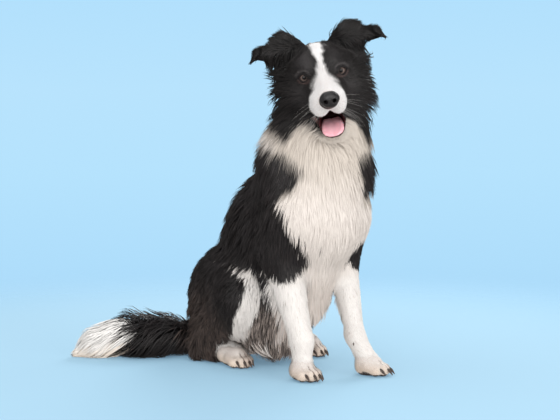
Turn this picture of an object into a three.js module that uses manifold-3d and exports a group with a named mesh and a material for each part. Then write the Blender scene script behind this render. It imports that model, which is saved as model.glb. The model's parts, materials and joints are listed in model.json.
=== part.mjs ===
// A life-size adult Border Collie, sitting, head turned a little to its right, mouth open.
// Millimetres, +Z up. While it is modelled the dog faces -Y and its left side is +X; at the end
// the whole group is moved so that the origin is under the middle of its bounding box, on the floor.
//
// The body is one implicit surface: tapered limbs laid between named joints, each with the radius
// of the flesh and the depth of the coat over it, melted together. The surface out to the tips of
// the coat is meshed, thinned and then parted by boxes into the parts a person would name.
import * as THREE from 'three';
import Module from 'manifold-3d';
import { mergeVertices } from 'three/addons/utils/BufferGeometryUtils.js';

// ------------------------------------------------------------------ driving dimensions
const GAP = 0.35;                 // clearance where one part meets the next
const BODY_CELL = 8.0;            // sampling step of trunk, legs and tail
const HEAD_CELL = 4.6;            // sampling step of the head
const BODY_TRIANGLES = 7000;      // first thinning, before the parts are cut
const HEAD_TRIANGLES = 5000;
const PART_TRIANGLES = {          // second thinning, part by part
  head: 1500, jaw: 250, ear: 230, neck: 300, trunk: 980, tail: 330, leg_front: 240, leg_hind: 330, paw: 240,
};
const COAT = 1;                   // 1 = out to the tips of the coat, 0 = bare flesh

// head: origin midway between the pupils, x to the dog's left, y backwards, z up
const HEAD_AT = [-35.6, 8.0, 581.7];
const HEAD_TURN = 32.2, HEAD_NOD = 14.0, HEAD_TILT = 11.3;   // degrees
const EYE_HALF_SPACING = 35.5, EYE_HEIGHT = -3.5, EYE_DEPTH = 10.5, EYE_RADIUS = 10.8;
const NOSE_AT = [0, -90, -31], NOSE_SIZE = [18.2, 14.5, 15.8];

// joints
const J = {
  breast: [-2, 120, 335], midback: [-4, 200, 268], loin: [0, 300, 146], pelvis: [0, 324, 104],
  ruffTop: [-4, 62, 400], ruffLow: [-4, 58, 310], sternum: [0, 72, 285], brisket: [0, 98, 226],
  bellyFront: [0, 165, 225], bellyBack: [-4, 250, 140],
  neckLow: [4, 102, 398], neckTop: [14, 76, 505], napeLow: [2, 142, 384], napeTop: [8, 94, 500], maneTop: [38, 58, 492], maneLow: [34, 72, 440],
  scapulaR: [-46, 104, 384], shoulderR: [-62, 50, 306], elbowR: [-78, 88, 246],
  scapulaL: [44, 112, 392], shoulderL: [48, 68, 306], elbowL: [64, 88, 246],
  foreR: [-80, 86, 244], wristR: [-68, 28, 74], foreL: [65, 86, 244], wristL: [55, 24, 74],
  hipR: [-58, 325, 128], thighR: [-88, 222, 146], kneeBackR: [-88, 214, 148], kneeR: [-102, 188, 142],
  hipL: [56, 328, 128], thighL: [76, 246, 142], kneeBackL: [76, 244, 142], kneeL: [86, 226, 136],
  shinR: [-102, 192, 134], hockR: [-94, 322, 44], shinL: [86, 228, 126], hockL: [92, 326, 44],
  heelR: [-94, 330, 32], metR: [-104, 246, 22], heelL: [94, 330, 32], metL: [100, 250, 22],
  featherTopR: [-94, 290, 72], featherLowR: [-108, 330, 26], featherTopL: [92, 300, 72], featherLowL: [98, 335, 26],
  rumpTop: [0, 350, 96], rumpLow: [0, 372, 70],
  skirtTopR: [-34, 168, 150], skirtLowR: [-40, 196, 52], skirtTopL: [-10, 190, 130], skirtLowL: [14, 222, 44], apronTop: [2, 92, 205], apronLow: [6, 112, 118],
  tail0: [0, 380, 64], tail1: [-64, 400, 34], tail1b: [-64, 400, 32], tail2: [-140, 412, 38], tail3: [-222, 444, 42], tail4: [-284, 474, 31], tail4b: [-284, 474, 24], tail5: [-322, 497, 9],
};
// from, to, flesh radii, coat depths, blend with what is already there, thinning across X
const LIMBS = [
  ['breast', 'midback', 90, 88, 28, 30, 0, 1.18],
  ['midback', 'loin', 86, 78, 28, 22, 40, 1.12],
  ['loin', 'pelvis', 80, 81, 20, 16, 40, 1.0],
  ['ruffTop', 'ruffLow', 46, 50, 38, 38, 50, 1],
  ['sternum', 'brisket', 44, 34, 28, 27, 50, 1],
  ['bellyFront', 'bellyBack', 50, 46, 20, 22, 50, 1],
  ['neckLow', 'neckTop', 60, 46, 32, 34, 60, 0.93],
  ['maneTop', 'maneLow', 20, 26, 24, 20, 50, 1],
  ['napeLow', 'napeTop', 36, 31, 20, 16, 40, 1],
  ['scapulaR', 'shoulderR', 38, 38, 20, 22, 36, 1],
  ['scapulaL', 'shoulderL', 38, 36, 22, 12, 36, 1],
  ['shoulderR', 'elbowR', 37, 30, 20, 16, 34, 1],
  ['shoulderL', 'elbowL', 36, 28, 13, 10, 34, 1],
  ['foreR', 'wristR', 27, 16.5, 12, 7, 26, 1],
  ['foreL', 'wristL', 24, 14.5, 8, 3.5, 26, 1],
  ['hipR', 'thighR', 78, 52, 18, 14, 50, 1.45],
  ['hipL', 'thighL', 76, 50, 18, 12, 50, 1.45],
  ['kneeBackR', 'kneeR', 46, 38, 12, 10, 30, 1.15],
  ['kneeBackL', 'kneeL', 44, 35, 12, 8, 30, 1.15],
  ['shinR', 'hockR', 36, 20, 10, 10, 26, 1],
  ['shinL', 'hockL', 34, 20, 8, 10, 26, 1],
  ['heelR', 'metR', 17, 18, 8, 4, 18, 1],
  ['heelL', 'metL', 17, 18, 8, 4, 18, 1],
  ['featherTopR', 'featherLowR', 24, 14, 16, 24, 30, 1],
  ['featherTopL', 'featherLowL', 24, 14, 12, 16, 30, 1],
  ['skirtTopR', 'skirtLowR', 26, 8, 22, 32, 44, 1],
  ['skirtTopL', 'skirtLowL', 24, 8, 20, 30, 44, 1],
  ['apronTop', 'apronLow', 18, 6, 20, 26, 36, 1],
  ['rumpTop', 'rumpLow', 60, 52, 22, 24, 50, 0.85],
];
const TAIL = [
  ['tail0', 'tail1', 22, 17, 14, 12, 30, 1],
  ['tail1b', 'tail2', 17, 15, 12, 33, 20, 1],
  ['tail2', 'tail3', 15, 11, 35, 41, 20, 1],
  ['tail3', 'tail4', 11, 6, 41, 28, 20, 1],
  ['tail4b', 'tail5', 6, 2, 20, 6, 20, 1],
];
// paws: joint above, point of the longest toes on the floor, width across the toes
const PAWS = {
  front_right: { from: [-68, 28, 74], toe: [-62, -14, 0], width: 40 },
  front_left: { from: [55, 24, 74], toe: [94, -34, 0], width: 40 },
  hind_right: { from: [-98, 262, 30], toe: [-96, 180, 0], width: 38 },
  hind_left: { from: [99, 262, 30], toe: [108, 206, 0], width: 36 },
};
const TOES = [[-1.5, 10, 10.5], [-0.52, 0, 11.5], [0.52, 0, 11.5], [1.5, 10, 10.5]];  // place, set back, radius
const PAW_COAT = 3.0;
const CLAW_LENGTH = 13, CLAW_RADIUS = 3.0;

// ------------------------------------------------------------------ distance functions
const smin = (a, b, k) => {
  if (k <= 0) return Math.min(a, b);
  const h = Math.max(k - Math.abs(a - b), 0) / k;
  return Math.min(a, b) - h * h * k * 0.25;
};
// a tapered limb from a to b; axis and f thin it along one direction
function limb(a, b, ra, rb, axis = null, f = 1) {
  const bx = b[0] - a[0], by = b[1] - a[1], bz = b[2] - a[2], L2 = bx * bx + by * by + bz * bz;
  let n = null;
  if (axis && f !== 1) { const l = Math.hypot(...axis); n = axis.map((v) => v / l); }
  return (x, y, z) => {
    const px = x - a[0], py = y - a[1], pz = z - a[2];
    const t = Math.min(1, Math.max(0, (px * bx + py * by + pz * bz) / L2));
    let qx = px - t * bx, qy = py - t * by, qz = pz - t * bz;
    const r = ra + (rb - ra) * t;
    if (!n) return Math.sqrt(qx * qx + qy * qy + qz * qz) - r;
    const s = (qx * n[0] + qy * n[1] + qz * n[2]) * (f - 1);
    qx += s * n[0]; qy += s * n[1]; qz += s * n[2];
    const L = Math.max(Math.sqrt(qx * qx + qy * qy + qz * qz), 1e-6);
    const u = (qx * n[0] + qy * n[1] + qz * n[2]) * (f - 1);
    const g = Math.hypot(qx + u * n[0], qy + u * n[1], qz + u * n[2]) / L;
    return (L - r) / Math.max(g, f >= 1 ? 1 : 0.6);
  };
}
function ellipsoid(c, r) {
  return (x, y, z) => {
    const X = x - c[0], Y = y - c[1], Z = z - c[2];
    const k0 = Math.hypot(X / r[0], Y / r[1], Z / r[2]);
    const k1 = Math.hypot(X / (r[0] * r[0]), Y / (r[1] * r[1]), Z / (r[2] * r[2]));
    return k0 * (k0 - 1) / Math.max(k1, 1e-9);
  };
}
const melt = (list) => (x, y, z) => {
  let d = 1e9;
  for (const [fn, k] of list) d = d > 1e8 ? fn(x, y, z) : smin(d, fn(x, y, z), k);
  return d;
};

// ------------------------------------------------------------------ body field
const bodyList = LIMBS.map(([a, b, ra, rb, ca, cb, k, f]) => [limb(J[a], J[b], ra + COAT * ca, rb + COAT * cb, [1, 0, 0], f), k]);
const toeTips = {};
for (const [name, p] of Object.entries(PAWS)) {
  const dx = p.toe[0] - p.from[0], dy = p.toe[1] - p.from[1], L = Math.hypot(dx, dy);
  const f = [dx / L, dy / L], s = [-f[1], f[0]];
  const at = (back, side, z) => [p.toe[0] - f[0] * back + s[0] * side, p.toe[1] - f[1] * back + s[1] * side, z];
  const c = PAW_COAT * COAT;
  bodyList.push([limb(p.from, at(42, 0, 22), 14.5 + 4.5 * COAT, 18.5 + c), 14]);
  bodyList.push([limb(at(50, 0, 17), at(32, 0, 17), 18.5 + c, 18.5 + c), 12]);
  toeTips[name] = [];
  for (const [o, back, r] of TOES) {
    const side = o * p.width;
    bodyList.push([limb(at(36 + back * 0.4, side * 0.26, 17), at(12 + back, side * 0.30, 11.5), 11 + c, r + c * 0.8), 7]);
    toeTips[name].push({ root: at(12 + back, side * 0.30, 12.5), f });
  }
}
for (const [a, b, ra, rb, ca, cb, k, f] of TAIL) bodyList.push([limb(J[a], J[b], ra + COAT * ca, rb + COAT * cb, [1, 0, 0], f), k]);
const bodyField = melt(bodyList);

// ------------------------------------------------------------------ head field, in the head's own frame
const rad = Math.PI / 180;
const headFrame = (() => {
  const ct = Math.cos(HEAD_TURN * rad), st = Math.sin(HEAD_TURN * rad), cn = Math.cos(HEAD_NOD * rad), sn = Math.sin(HEAD_NOD * rad);
  const back = new THREE.Vector3(st * cn, ct * cn, sn);
  const left0 = new THREE.Vector3(ct, -st, 0);
  const up0 = new THREE.Vector3().crossVectors(left0, back);
  const cr = Math.cos(HEAD_TILT * rad), sr = Math.sin(HEAD_TILT * rad);
  const left = left0.clone().multiplyScalar(cr).addScaledVector(up0, sr);
  const up = up0.clone().multiplyScalar(cr).addScaledVector(left0, -sr);
  return new THREE.Matrix4().makeBasis(left, back, up).setPosition(...HEAD_AT);
})();
const H = headFrame.elements;
const c = COAT;
const cranium = melt([
  [ellipsoid([0, 56, 2], [50 + 6 * c, 62 + 6 * c, 43 + 4 * c]), 0],
  [ellipsoid([0, 22, 10], [38 + 3 * c, 34 + 2 * c, 29 + 5 * c]), 20],
  [limb([25, 8, 14], [42, 33, 8], 10 + 2 * c, 15 + 6 * c), 12],
  [limb([39, 20, -16], [50, 50, -14], 15 + 3 * c, 21 + 14 * c), 16],
  [limb([0, 6, -14], [0, -68, -27], 24 + 1.5 * c, 13.5 + 1.5 * c), 16],
  [limb([17, -2, -31], [12, -64, -39], 19 + 2 * c, 16 + 2 * c), 11],
  [limb([0, -62, -34], [0, -80, -37], 16 + 2 * c, 14 + 1.5 * c), 10],
  [limb([24, -14, -48], [17, -62, -52.5], 13 + 2.5 * c, 12.5 + 2 * c), 10],
  [limb([38, 44, -40], [34, 18, -56], 24 + 14 * c, 14 + 9 * c), 24],
]);
const lowerJaw = melt([
  [limb([28, 34, -62], [13, -48, -95], 13 + 6 * c, 9 + 2 * c), 0],
  [limb([5, -36, -96], [5, -57, -102], 14 + 2 * c, 11 + 1.5 * c), 10],
  [limb([0, 40, -70], [0, -30, -96], 24 + 10 * c, 13 + 3 * c), 18],
]);
const EAR_FACE = [0.25, -0.9, 0.3];
const earPair = melt([
  [limb([38, 58, 42], [60, 53, 54], 17 + 10 * c, 15 + 11 * c, EAR_FACE, 2.6), 0],
  [limb([60, 53, 54], [102, 45, 53.5], 13 + 10 * c, 9.5 + 8 * c, EAR_FACE, 2.8), 16],
  [limb([102, 45, 54], [115, 41, 55], 8.5 + 7 * c, 7.5 + 5 * c, EAR_FACE, 2.6), 8],
  [limb([115, 41, 55], [130, 36, 38.5], 7.5 + 5 * c, 1.2 + 2.2 * c, [0.8, -0.5, 0.4], 2.0), 5],
]);
// hair that hangs from the ears and cheeks, fuller on the dog's right
const EAR_SKIRT_SHIFT = 6, RUFF_SHIFT = 8;
const earSkirt = limb([66, 58, 44], [74, 60, -8], 6 + 24 * c, 6 + 20 * c, [0.2, -1, 0], 1.6);
const cheekRuff = limb([50, 60, -44], [50, 56, -94], 20 + 16 * c, 20 + 16 * c);
const mouth = melt([
  [limb([0, 16, -68], [0, -40, -76], 13, 22, [0, 0.3, 1], 2.2), 0],
  [limb([0, -40, -76], [0, -100, -84], 22, 30, [0, 0.25, 1], 1.9), 8],
]);
function dogField(x, y, z) {
  const dx = x - HEAD_AT[0], dy = y - HEAD_AT[1], dz = z - HEAD_AT[2];
  const body = bodyField(x, y, z);
  if (dx * dx + dy * dy + dz * dz > 260 * 260) return body;
  const across = dx * H[0] + dy * H[1] + dz * H[2], u = Math.abs(across);
  const v = dx * H[4] + dy * H[5] + dz * H[6];
  const w = dx * H[8] + dy * H[9] + dz * H[10];
  let h = smin(cranium(u, v, w), cheekRuff(Math.abs(across + RUFF_SHIFT), v, w), 30);
  h = smin(h, lowerJaw(u, v, w), 16);
  h = smin(h, smin(earPair(u, v, w), earSkirt(Math.abs(across + EAR_SKIRT_SHIFT), v, w), 20), 14);
  h = Math.max(h, -mouth(u, v, w));
  return smin(body, h, 34);
}

// ------------------------------------------------------------------ meshing: marching tetrahedra
function isoMesh(field, lo, hi, cell) {
  const n = [0, 1, 2].map((i) => Math.ceil((hi[i] - lo[i]) / cell) + 1);
  const id = (i, j, k) => (i * n[1] + j) * n[2] + k;
  const D = new Float64Array(n[0] * n[1] * n[2]);
  for (let i = 0; i < n[0]; i++) for (let j = 0; j < n[1]; j++) for (let k = 0; k < n[2]; k++) {
    const edge = i === 0 || j === 0 || k === 0 || i === n[0] - 1 || j === n[1] - 1 || k === n[2] - 1;
    const d = field(lo[0] + i * cell, lo[1] + j * cell, lo[2] + k * cell);
    D[id(i, j, k)] = edge ? Math.max(d, cell * 0.5) : (Math.abs(d) < 1e-4 * cell ? 1e-4 * cell : d);
  }
  const verts = [], tris = [], seen = new Map();
  const pos = (q) => { const k = q % n[2], r = (q - k) / n[2], j = r % n[1]; return [(r - j) / n[1], j, k]; };
  const cross = (a, b) => {
    const key = a < b ? a * D.length + b : b * D.length + a;
    let v = seen.get(key);
    if (v === undefined) {
      const t = Math.min(0.93, Math.max(0.07, D[a] / (D[a] - D[b]))), A = pos(a), B = pos(b);
      v = verts.length / 3;
      for (let m = 0; m < 3; m++) verts.push(lo[m] + cell * (A[m] + t * (B[m] - A[m])));
      seen.set(key, v);
    }
    return v;
  };
  const TETS = [[0, 1, 3, 7], [0, 3, 2, 7], [0, 2, 6, 7], [0, 6, 4, 7], [0, 4, 5, 7], [0, 5, 1, 7]];
  for (let i = 0; i < n[0] - 1; i++) for (let j = 0; j < n[1] - 1; j++) for (let k = 0; k < n[2] - 1; k++) {
    const q = [];
    let inside = 0;
    for (let m = 0; m < 8; m++) { q.push(id(i + (m & 1), j + ((m >> 1) & 1), k + (m >> 2))); if (D[q[m]] < 0) inside++; }
    if (!inside || inside === 8) continue;
    for (const T of TETS) {
      const t = T.map((m) => q[m]), ins = t.filter((m) => D[m] < 0), out = t.filter((m) => D[m] >= 0);
      if (!ins.length || !out.length) continue;
      const emit = (a, b, e) => {
        // outward normal points from the inside corner to the outside one
        const P = [a, b, e].map((v) => verts.slice(v * 3, v * 3 + 3));
        const U = [0, 1, 2].map((m) => P[1][m] - P[0][m]), W = [0, 1, 2].map((m) => P[2][m] - P[0][m]);
        const N = [U[1] * W[2] - U[2] * W[1], U[2] * W[0] - U[0] * W[2], U[0] * W[1] - U[1] * W[0]];
        const A = pos(ins[0]), B = pos(out[0]);
        const mid = [0, 1, 2].map((m) => (P[0][m] + P[1][m] + P[2][m]) / 3);
        let s = 0;
        for (let m = 0; m < 3; m++) s += N[m] * ((mid[m] - (lo[m] + cell * A[m])) + ((lo[m] + cell * B[m]) - mid[m]));
        tris.push(s > 0 ? [a, b, e] : [a, e, b]);
      };
      if (ins.length === 1) emit(cross(ins[0], out[0]), cross(ins[0], out[1]), cross(ins[0], out[2]));
      else if (ins.length === 3) emit(cross(ins[0], out[0]), cross(ins[1], out[0]), cross(ins[2], out[0]));
      else {
        const a = cross(ins[0], out[0]), b = cross(ins[0], out[1]), d = cross(ins[1], out[1]), e = cross(ins[1], out[0]);
        emit(a, b, d); emit(a, d, e);
      }
    }
  }
  return { verts, tris };
}

// ------------------------------------------------------------------ thinning: quadric edge collapse
function thin({ verts, tris }, target, planes = []) {
  const nv = verts.length / 3, P = Float64Array.from(verts), F = tris.map((t) => t.slice());
  const alive = new Uint8Array(F.length).fill(1), gone = new Uint8Array(nv), stamp = new Int32Array(nv);
  const Q = new Float64Array(nv * 10), VF = Array.from({ length: nv }, () => new Set());
  const normal = (f, sub = -1, np = null) => {
    const p = F[f].map((v) => (v === sub ? np : [P[v * 3], P[v * 3 + 1], P[v * 3 + 2]]));
    const u = [0, 1, 2].map((m) => p[1][m] - p[0][m]), w = [0, 1, 2].map((m) => p[2][m] - p[0][m]);
    return [[u[1] * w[2] - u[2] * w[1], u[2] * w[0] - u[0] * w[2], u[0] * w[1] - u[1] * w[0]], p[0]];
  };
  F.forEach((t, f) => {
    t.forEach((v) => VF[v].add(f));
    const [n, p] = normal(f), l = Math.hypot(...n);
    if (l < 1e-12) return;
    const [a, b, e] = n.map((v) => v / l), d = -(a * p[0] + b * p[1] + e * p[2]);
    // faces left by a cut stay where they are
    const onCut = planes.some((q) => Math.abs(a * q[0] + b * q[1] + e * q[2]) > 0.9999 && Math.abs(q[0] * p[0] + q[1] * p[1] + q[2] * p[2] + q[3]) < 0.01);
    const w = (l / 2) * (onCut ? 300 : 1);
    const q = [a * a, a * b, a * e, a * d, b * b, b * e, b * d, e * e, e * d, d * d];
    for (const v of t) for (let m = 0; m < 10; m++) Q[v * 10 + m] += w * q[m];
  });
  const err = (q, x, y, z) => q[0] * x * x + 2 * q[1] * x * y + 2 * q[2] * x * z + 2 * q[3] * x + q[4] * y * y + 2 * q[5] * y * z + 2 * q[6] * y + q[7] * z * z + 2 * q[8] * z + q[9];
  const heap = [];
  const push = (e) => { heap.push(e); let i = heap.length - 1; while (i) { const p = (i - 1) >> 1; if (heap[p][0] <= heap[i][0]) break; [heap[p], heap[i]] = [heap[i], heap[p]]; i = p; } };
  const pop = () => { const top = heap[0], last = heap.pop(); if (heap.length) { heap[0] = last; let i = 0; for (;;) { let s = i; const l = 2 * i + 1, r = l + 1; if (l < heap.length && heap[l][0] < heap[s][0]) s = l; if (r < heap.length && heap[r][0] < heap[s][0]) s = r; if (s === i) break; [heap[s], heap[i]] = [heap[i], heap[s]]; i = s; } } return top; };
  const plan = (u, v) => {
    const q = new Float64Array(10);
    for (let m = 0; m < 10; m++) q[m] = Q[u * 10 + m] + Q[v * 10 + m];
    const A = [P[u * 3], P[u * 3 + 1], P[u * 3 + 2]], B = [P[v * 3], P[v * 3 + 1], P[v * 3 + 2]];
    const M = A.map((a, m) => (a + B[m]) / 2), len2 = (A[0] - B[0]) ** 2 + (A[1] - B[1]) ** 2 + (A[2] - B[2]) ** 2;
    const cand = [A, B, M];
    const det = q[0] * (q[4] * q[7] - q[5] * q[5]) - q[1] * (q[1] * q[7] - q[5] * q[2]) + q[2] * (q[1] * q[5] - q[4] * q[2]);
    if (Math.abs(det) > 1e-6) {
      const r = [-q[3], -q[6], -q[8]];
      const X = (r[0] * (q[4] * q[7] - q[5] * q[5]) - q[1] * (r[1] * q[7] - q[5] * r[2]) + q[2] * (r[1] * q[5] - q[4] * r[2])) / det;
      const Y = (q[0] * (r[1] * q[7] - r[2] * q[5]) - r[0] * (q[1] * q[7] - q[5] * q[2]) + q[2] * (q[1] * r[2] - r[1] * q[2])) / det;
      const Z = (q[0] * (q[4] * r[2] - q[5] * r[1]) - q[1] * (q[1] * r[2] - q[2] * r[1]) + r[0] * (q[1] * q[5] - q[4] * q[2])) / det;
      if ((X - M[0]) ** 2 + (Y - M[1]) ** 2 + (Z - M[2]) ** 2 < 2 * len2) cand.push([X, Y, Z]);
    }
    let best = null;
    for (const p of cand) { const e = Math.max(0, err(q, ...p)) + len2 * 2e-2; if (!best || e < best[0]) best = [e, p]; }
    return [best[0], u, v, stamp[u], stamp[v], best[1]];
  };
  const nbrs = (v) => { const s = new Set(); for (const f of VF[v]) for (const w of F[f]) if (w !== v) s.add(w); return s; };
  for (let v = 0; v < nv; v++) for (const w of nbrs(v)) if (v < w) push(plan(v, w));
  let count = F.length;
  while (count > target && heap.length) {
    const [, u, v, su, sv, p] = pop();
    if (gone[u] || gone[v] || stamp[u] !== su || stamp[v] !== sv) continue;
    const nu = nbrs(u), nvv = nbrs(v);
    let common = 0; for (const w of nu) if (nvv.has(w)) common++;
    if (common !== 2 || nu.size + nvv.size < 8) continue;
    let ok = true;
    for (const [a, b] of [[u, v], [v, u]]) for (const f of VF[a]) {
      if (F[f].includes(b)) continue;
      const [n0] = normal(f), [n1] = normal(f, a, p);
      const l0 = Math.hypot(...n0), l1 = Math.hypot(...n1);
      if (l1 < 1e-3 || (n0[0] * n1[0] + n0[1] * n1[1] + n0[2] * n1[2]) < 0.25 * l0 * l1) { ok = false; break; }
    }
    if (!ok) continue;
    for (const f of [...VF[v]]) {
      if (F[f].includes(u)) { alive[f] = 0; count--; for (const w of F[f]) VF[w].delete(f); } else { F[f][F[f].indexOf(v)] = u; VF[u].add(f); }
    }
    gone[v] = 1; VF[v].clear();
    P[u * 3] = p[0]; P[u * 3 + 1] = p[1]; P[u * 3 + 2] = p[2];
    for (let m = 0; m < 10; m++) Q[u * 10 + m] += Q[v * 10 + m];
    stamp[u]++;
    for (const w of nbrs(u)) push(plan(u, w));
  }
  const map = new Map(), V = [], T = [];
  F.forEach((t, f) => { if (alive[f]) T.push(...t.map((v) => { if (!map.has(v)) { map.set(v, V.length / 3); V.push(P[v * 3], P[v * 3 + 1], P[v * 3 + 2]); } return map.get(v); })); });
  return { V, T };
}

// ------------------------------------------------------------------ solids
const wasm = await Module(); wasm.setup();
const solidOf = (V, T) => new wasm.Manifold(new wasm.Mesh({ numProp: 3, vertProperties: Float32Array.from(V), triVerts: Uint32Array.from(T) }));
function solidFromGeometry(geometry, matrix) {
  const g = geometry.clone(); g.deleteAttribute('normal'); g.deleteAttribute('uv');
  if (matrix) g.applyMatrix4(matrix);
  const m = mergeVertices(g, 1e-4);
  return solidOf(m.attributes.position.array, m.index.array);
}
function biggest(solid) {
  const bits = solid.decompose();
  let best = bits[0];
  for (const b of bits) if (b.volume() > best.volume()) best = b;
  return best;
}
const place = (x, y, z, ax = 0, ay = 0, az = 0) => new THREE.Matrix4().compose(new THREE.Vector3(x, y, z), new THREE.Quaternion().setFromEuler(new THREE.Euler(ax * rad, ay * rad, az * rad, 'ZYX')), new THREE.Vector3(1, 1, 1));
// takes out of `rest` what lies in a box; returns the piece and what is left, GAP apart
const cutPlanes = [[0, 0, 1, 0]];
function part(rest, size, matrix) {
  for (let k = 0; k < 3; k++) for (const s of [-1, 1]) for (const g of [0, GAP]) {
    const n = new THREE.Vector3().setComponent(k, 1).transformDirection(matrix);
    const p = new THREE.Vector3().setComponent(k, s * (size[k] / 2 + g)).applyMatrix4(matrix);
    cutPlanes.push([n.x, n.y, n.z, -n.dot(p)]);
  }
  const box = (grow) => solidFromGeometry(new THREE.BoxGeometry(size[0] + grow, size[1] + grow, size[2] + grow), matrix);
  return [biggest(rest.intersect(box(0))), biggest(rest.subtract(box(2 * GAP)))];
}

// the two sampled surfaces, cut flat at the floor
const floorCut = solidFromGeometry(new THREE.BoxGeometry(1200, 1200, 900), place(0, 200, 450));
const bodyThin = thin(isoMesh(dogField, [-352, -112, -30], [176, 552, 600], BODY_CELL), BODY_TRIANGLES);
const headThin = thin(isoMesh(dogField, [-214, -118, 420], [178, 210, 724], HEAD_CELL), HEAD_TRIANGLES);
let body = biggest(solidOf(bodyThin.V, bodyThin.T).intersect(floorCut));
let head = solidOf(headThin.V, headThin.T);

// head block: everything above a sloping plane through the throat and the nape
const headBox = new THREE.Matrix4().multiplyMatrices(headFrame, place(0, 30, -104, 22));
headBox.multiply(new THREE.Matrix4().makeTranslation(0, 0, 150));
const HEAD_BLOCK = [420, 420, 300];
[head] = part(head, HEAD_BLOCK, headBox);
body = biggest(body.subtract(solidFromGeometry(new THREE.BoxGeometry(...HEAD_BLOCK.map((v) => v + 2 * GAP)), headBox)));

// parts of the body
const pieces = {};
let rest = body;
[pieces.tail, rest] = part(rest, [330, 200, 160], place(-253, 458, 55, 0, 0, -10));
[pieces.neck, rest] = part(rest, [420, 520, 260], place(0, 60, 530, 10));
for (const [side, s] of [['right', -1], ['left', 1]]) {
  const inner = s < 0 ? 33 : 29, lean = s < 0 ? 4.1 : 3.2;     // inner face of the foreleg block and how it leans
  [pieces['leg_front_' + side], rest] = part(rest, [110, 236, 290], place(s * (inner + 55), 14, 108, 6, s * lean, 0));
  [pieces['leg_hind_' + side], rest] = part(rest, [200, 330, 420], place(s * 176, 293, 95, 0, s * 17.5, 0));
}
pieces.trunk = rest;
for (const name of Object.keys(PAWS)) {
  const leg = 'leg_' + name, p = PAWS[name], hind = name.startsWith('hind');
  const dx = p.toe[0] - p.from[0], dy = p.toe[1] - p.from[1], turn = Math.atan2(dx, -dy) / rad;
  const f = [dx / Math.hypot(dx, dy), dy / Math.hypot(dx, dy)];
  const m = hind ? place(p.toe[0] - f[0] * 24, p.toe[1] - f[1] * 24, 14, 0, 0, turn) : place(p.toe[0] - f[0] * 40, p.toe[1] - f[1] * 40, 18, -8, 0, turn);
  [pieces['paw_' + name], pieces[leg]] = part(pieces[leg], hind ? [110, 92, 80] : [110, 130, 84], m);
}

// parts of the head
const inHead = (m) => new THREE.Matrix4().multiplyMatrices(headFrame, m);
[pieces.ear_left, head] = part(head, [190, 120, 110], inHead(place(55, 54, 41, 0, 36).multiply(place(0, 0, 55))));
[pieces.ear_right, head] = part(head, [190, 120, 110], inHead(place(-55, 54, 41, 0, -36).multiply(place(0, 0, 55))));
[pieces.jaw, head] = part(head, [100, 105, 70], inHead(place(0, -46.5, -109)));
pieces.head = head;

function thinned(solid, target) {
  const { vertProperties, triVerts } = solid.getMesh(), tris = [];
  for (let i = 0; i < triVerts.length; i += 3) tris.push([triVerts[i], triVerts[i + 1], triVerts[i + 2]]);
  const { V, T } = thin({ verts: vertProperties, tris }, target, cutPlanes);
  return solidOf(V, T);
}
for (const name of Object.keys(pieces)) {
  const kind = Object.keys(PART_TRIANGLES).filter((k) => name.startsWith(k)).sort((a, b) => b.length - a.length)[0];
  pieces[name] = thinned(pieces[name], PART_TRIANGLES[kind]);
}

// ------------------------------------------------------------------ eyes, nose, tongue, claws
// a closed surface of rings: centre line, half width, half height, and two end points
function ringSolid(rings, around, grow = 0) {
  const V = [], T = [];
  rings.forEach(({ c: o, a, b, ea, eb, shape }) => {
    for (let i = 0; i < around; i++) {
      const t = (i / around) * 2 * Math.PI, m = shape ? shape(t) : 1;
      for (let k = 0; k < 3; k++) V.push(o[k] + (a + grow) * m * Math.cos(t) * ea[k] + (b + grow) * m * Math.sin(t) * eb[k]);
    }
  });
  const n = rings.length;
  for (let r = 0; r < n - 1; r++) for (let i = 0; i < around; i++) {
    const j = (i + 1) % around, p = r * around + i, q = r * around + j;
    T.push(p, q, q + around, p, q + around, p + around);
  }
  const A = V.length / 3; V.push(...rings[0].tip); const B = A + 1; V.push(...rings[n - 1].tip);
  for (let i = 0; i < around; i++) { const j = (i + 1) % around; T.push(A, j, i, B, (n - 1) * around + i, (n - 1) * around + j); }
  return { V, T };
}
const toWorld = (V, m) => { const o = [], p = new THREE.Vector3(); for (let i = 0; i < V.length; i += 3) { p.set(V[i], V[i + 1], V[i + 2]).applyMatrix4(m); o.push(p.x, p.y, p.z); } return o; };
const volumeSign = (s) => s.volume() > 0;
function ringManifold(make, matrix) {
  const { V, T } = make, W = toWorld(V, matrix);
  let s = solidOf(W, T);
  if (!volumeSign(s)) { const R = T.slice(); for (let i = 0; i < R.length; i += 3) [R[i + 1], R[i + 2]] = [R[i + 2], R[i + 1]]; s = solidOf(W, R); }
  return s;
}
// eyes: a ball with a slight corneal swelling forwards
const eyeSolid = (side, grow) => {
  const g = new THREE.SphereGeometry(EYE_RADIUS + grow, 14, 9);
  const p = g.attributes.position;
  for (let i = 0; i < p.count; i++) { const y = p.getY(i) / (EYE_RADIUS + grow); if (y < -0.8) p.setY(i, p.getY(i) - 5 * (-y - 0.8)); }
  return solidFromGeometry(g, inHead(place(side * EYE_HALF_SPACING, EYE_DEPTH, EYE_HEIGHT, 0, 0, side * 8)));
};
const socket = (side) => solidFromGeometry(new THREE.SphereGeometry(1, 12, 8), inHead(place(side * (EYE_HALF_SPACING + 0.5), -4, EYE_HEIGHT, 0, 0, side * 12).multiply(new THREE.Matrix4().makeScale(12.5, 12, 8.2))));
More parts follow.
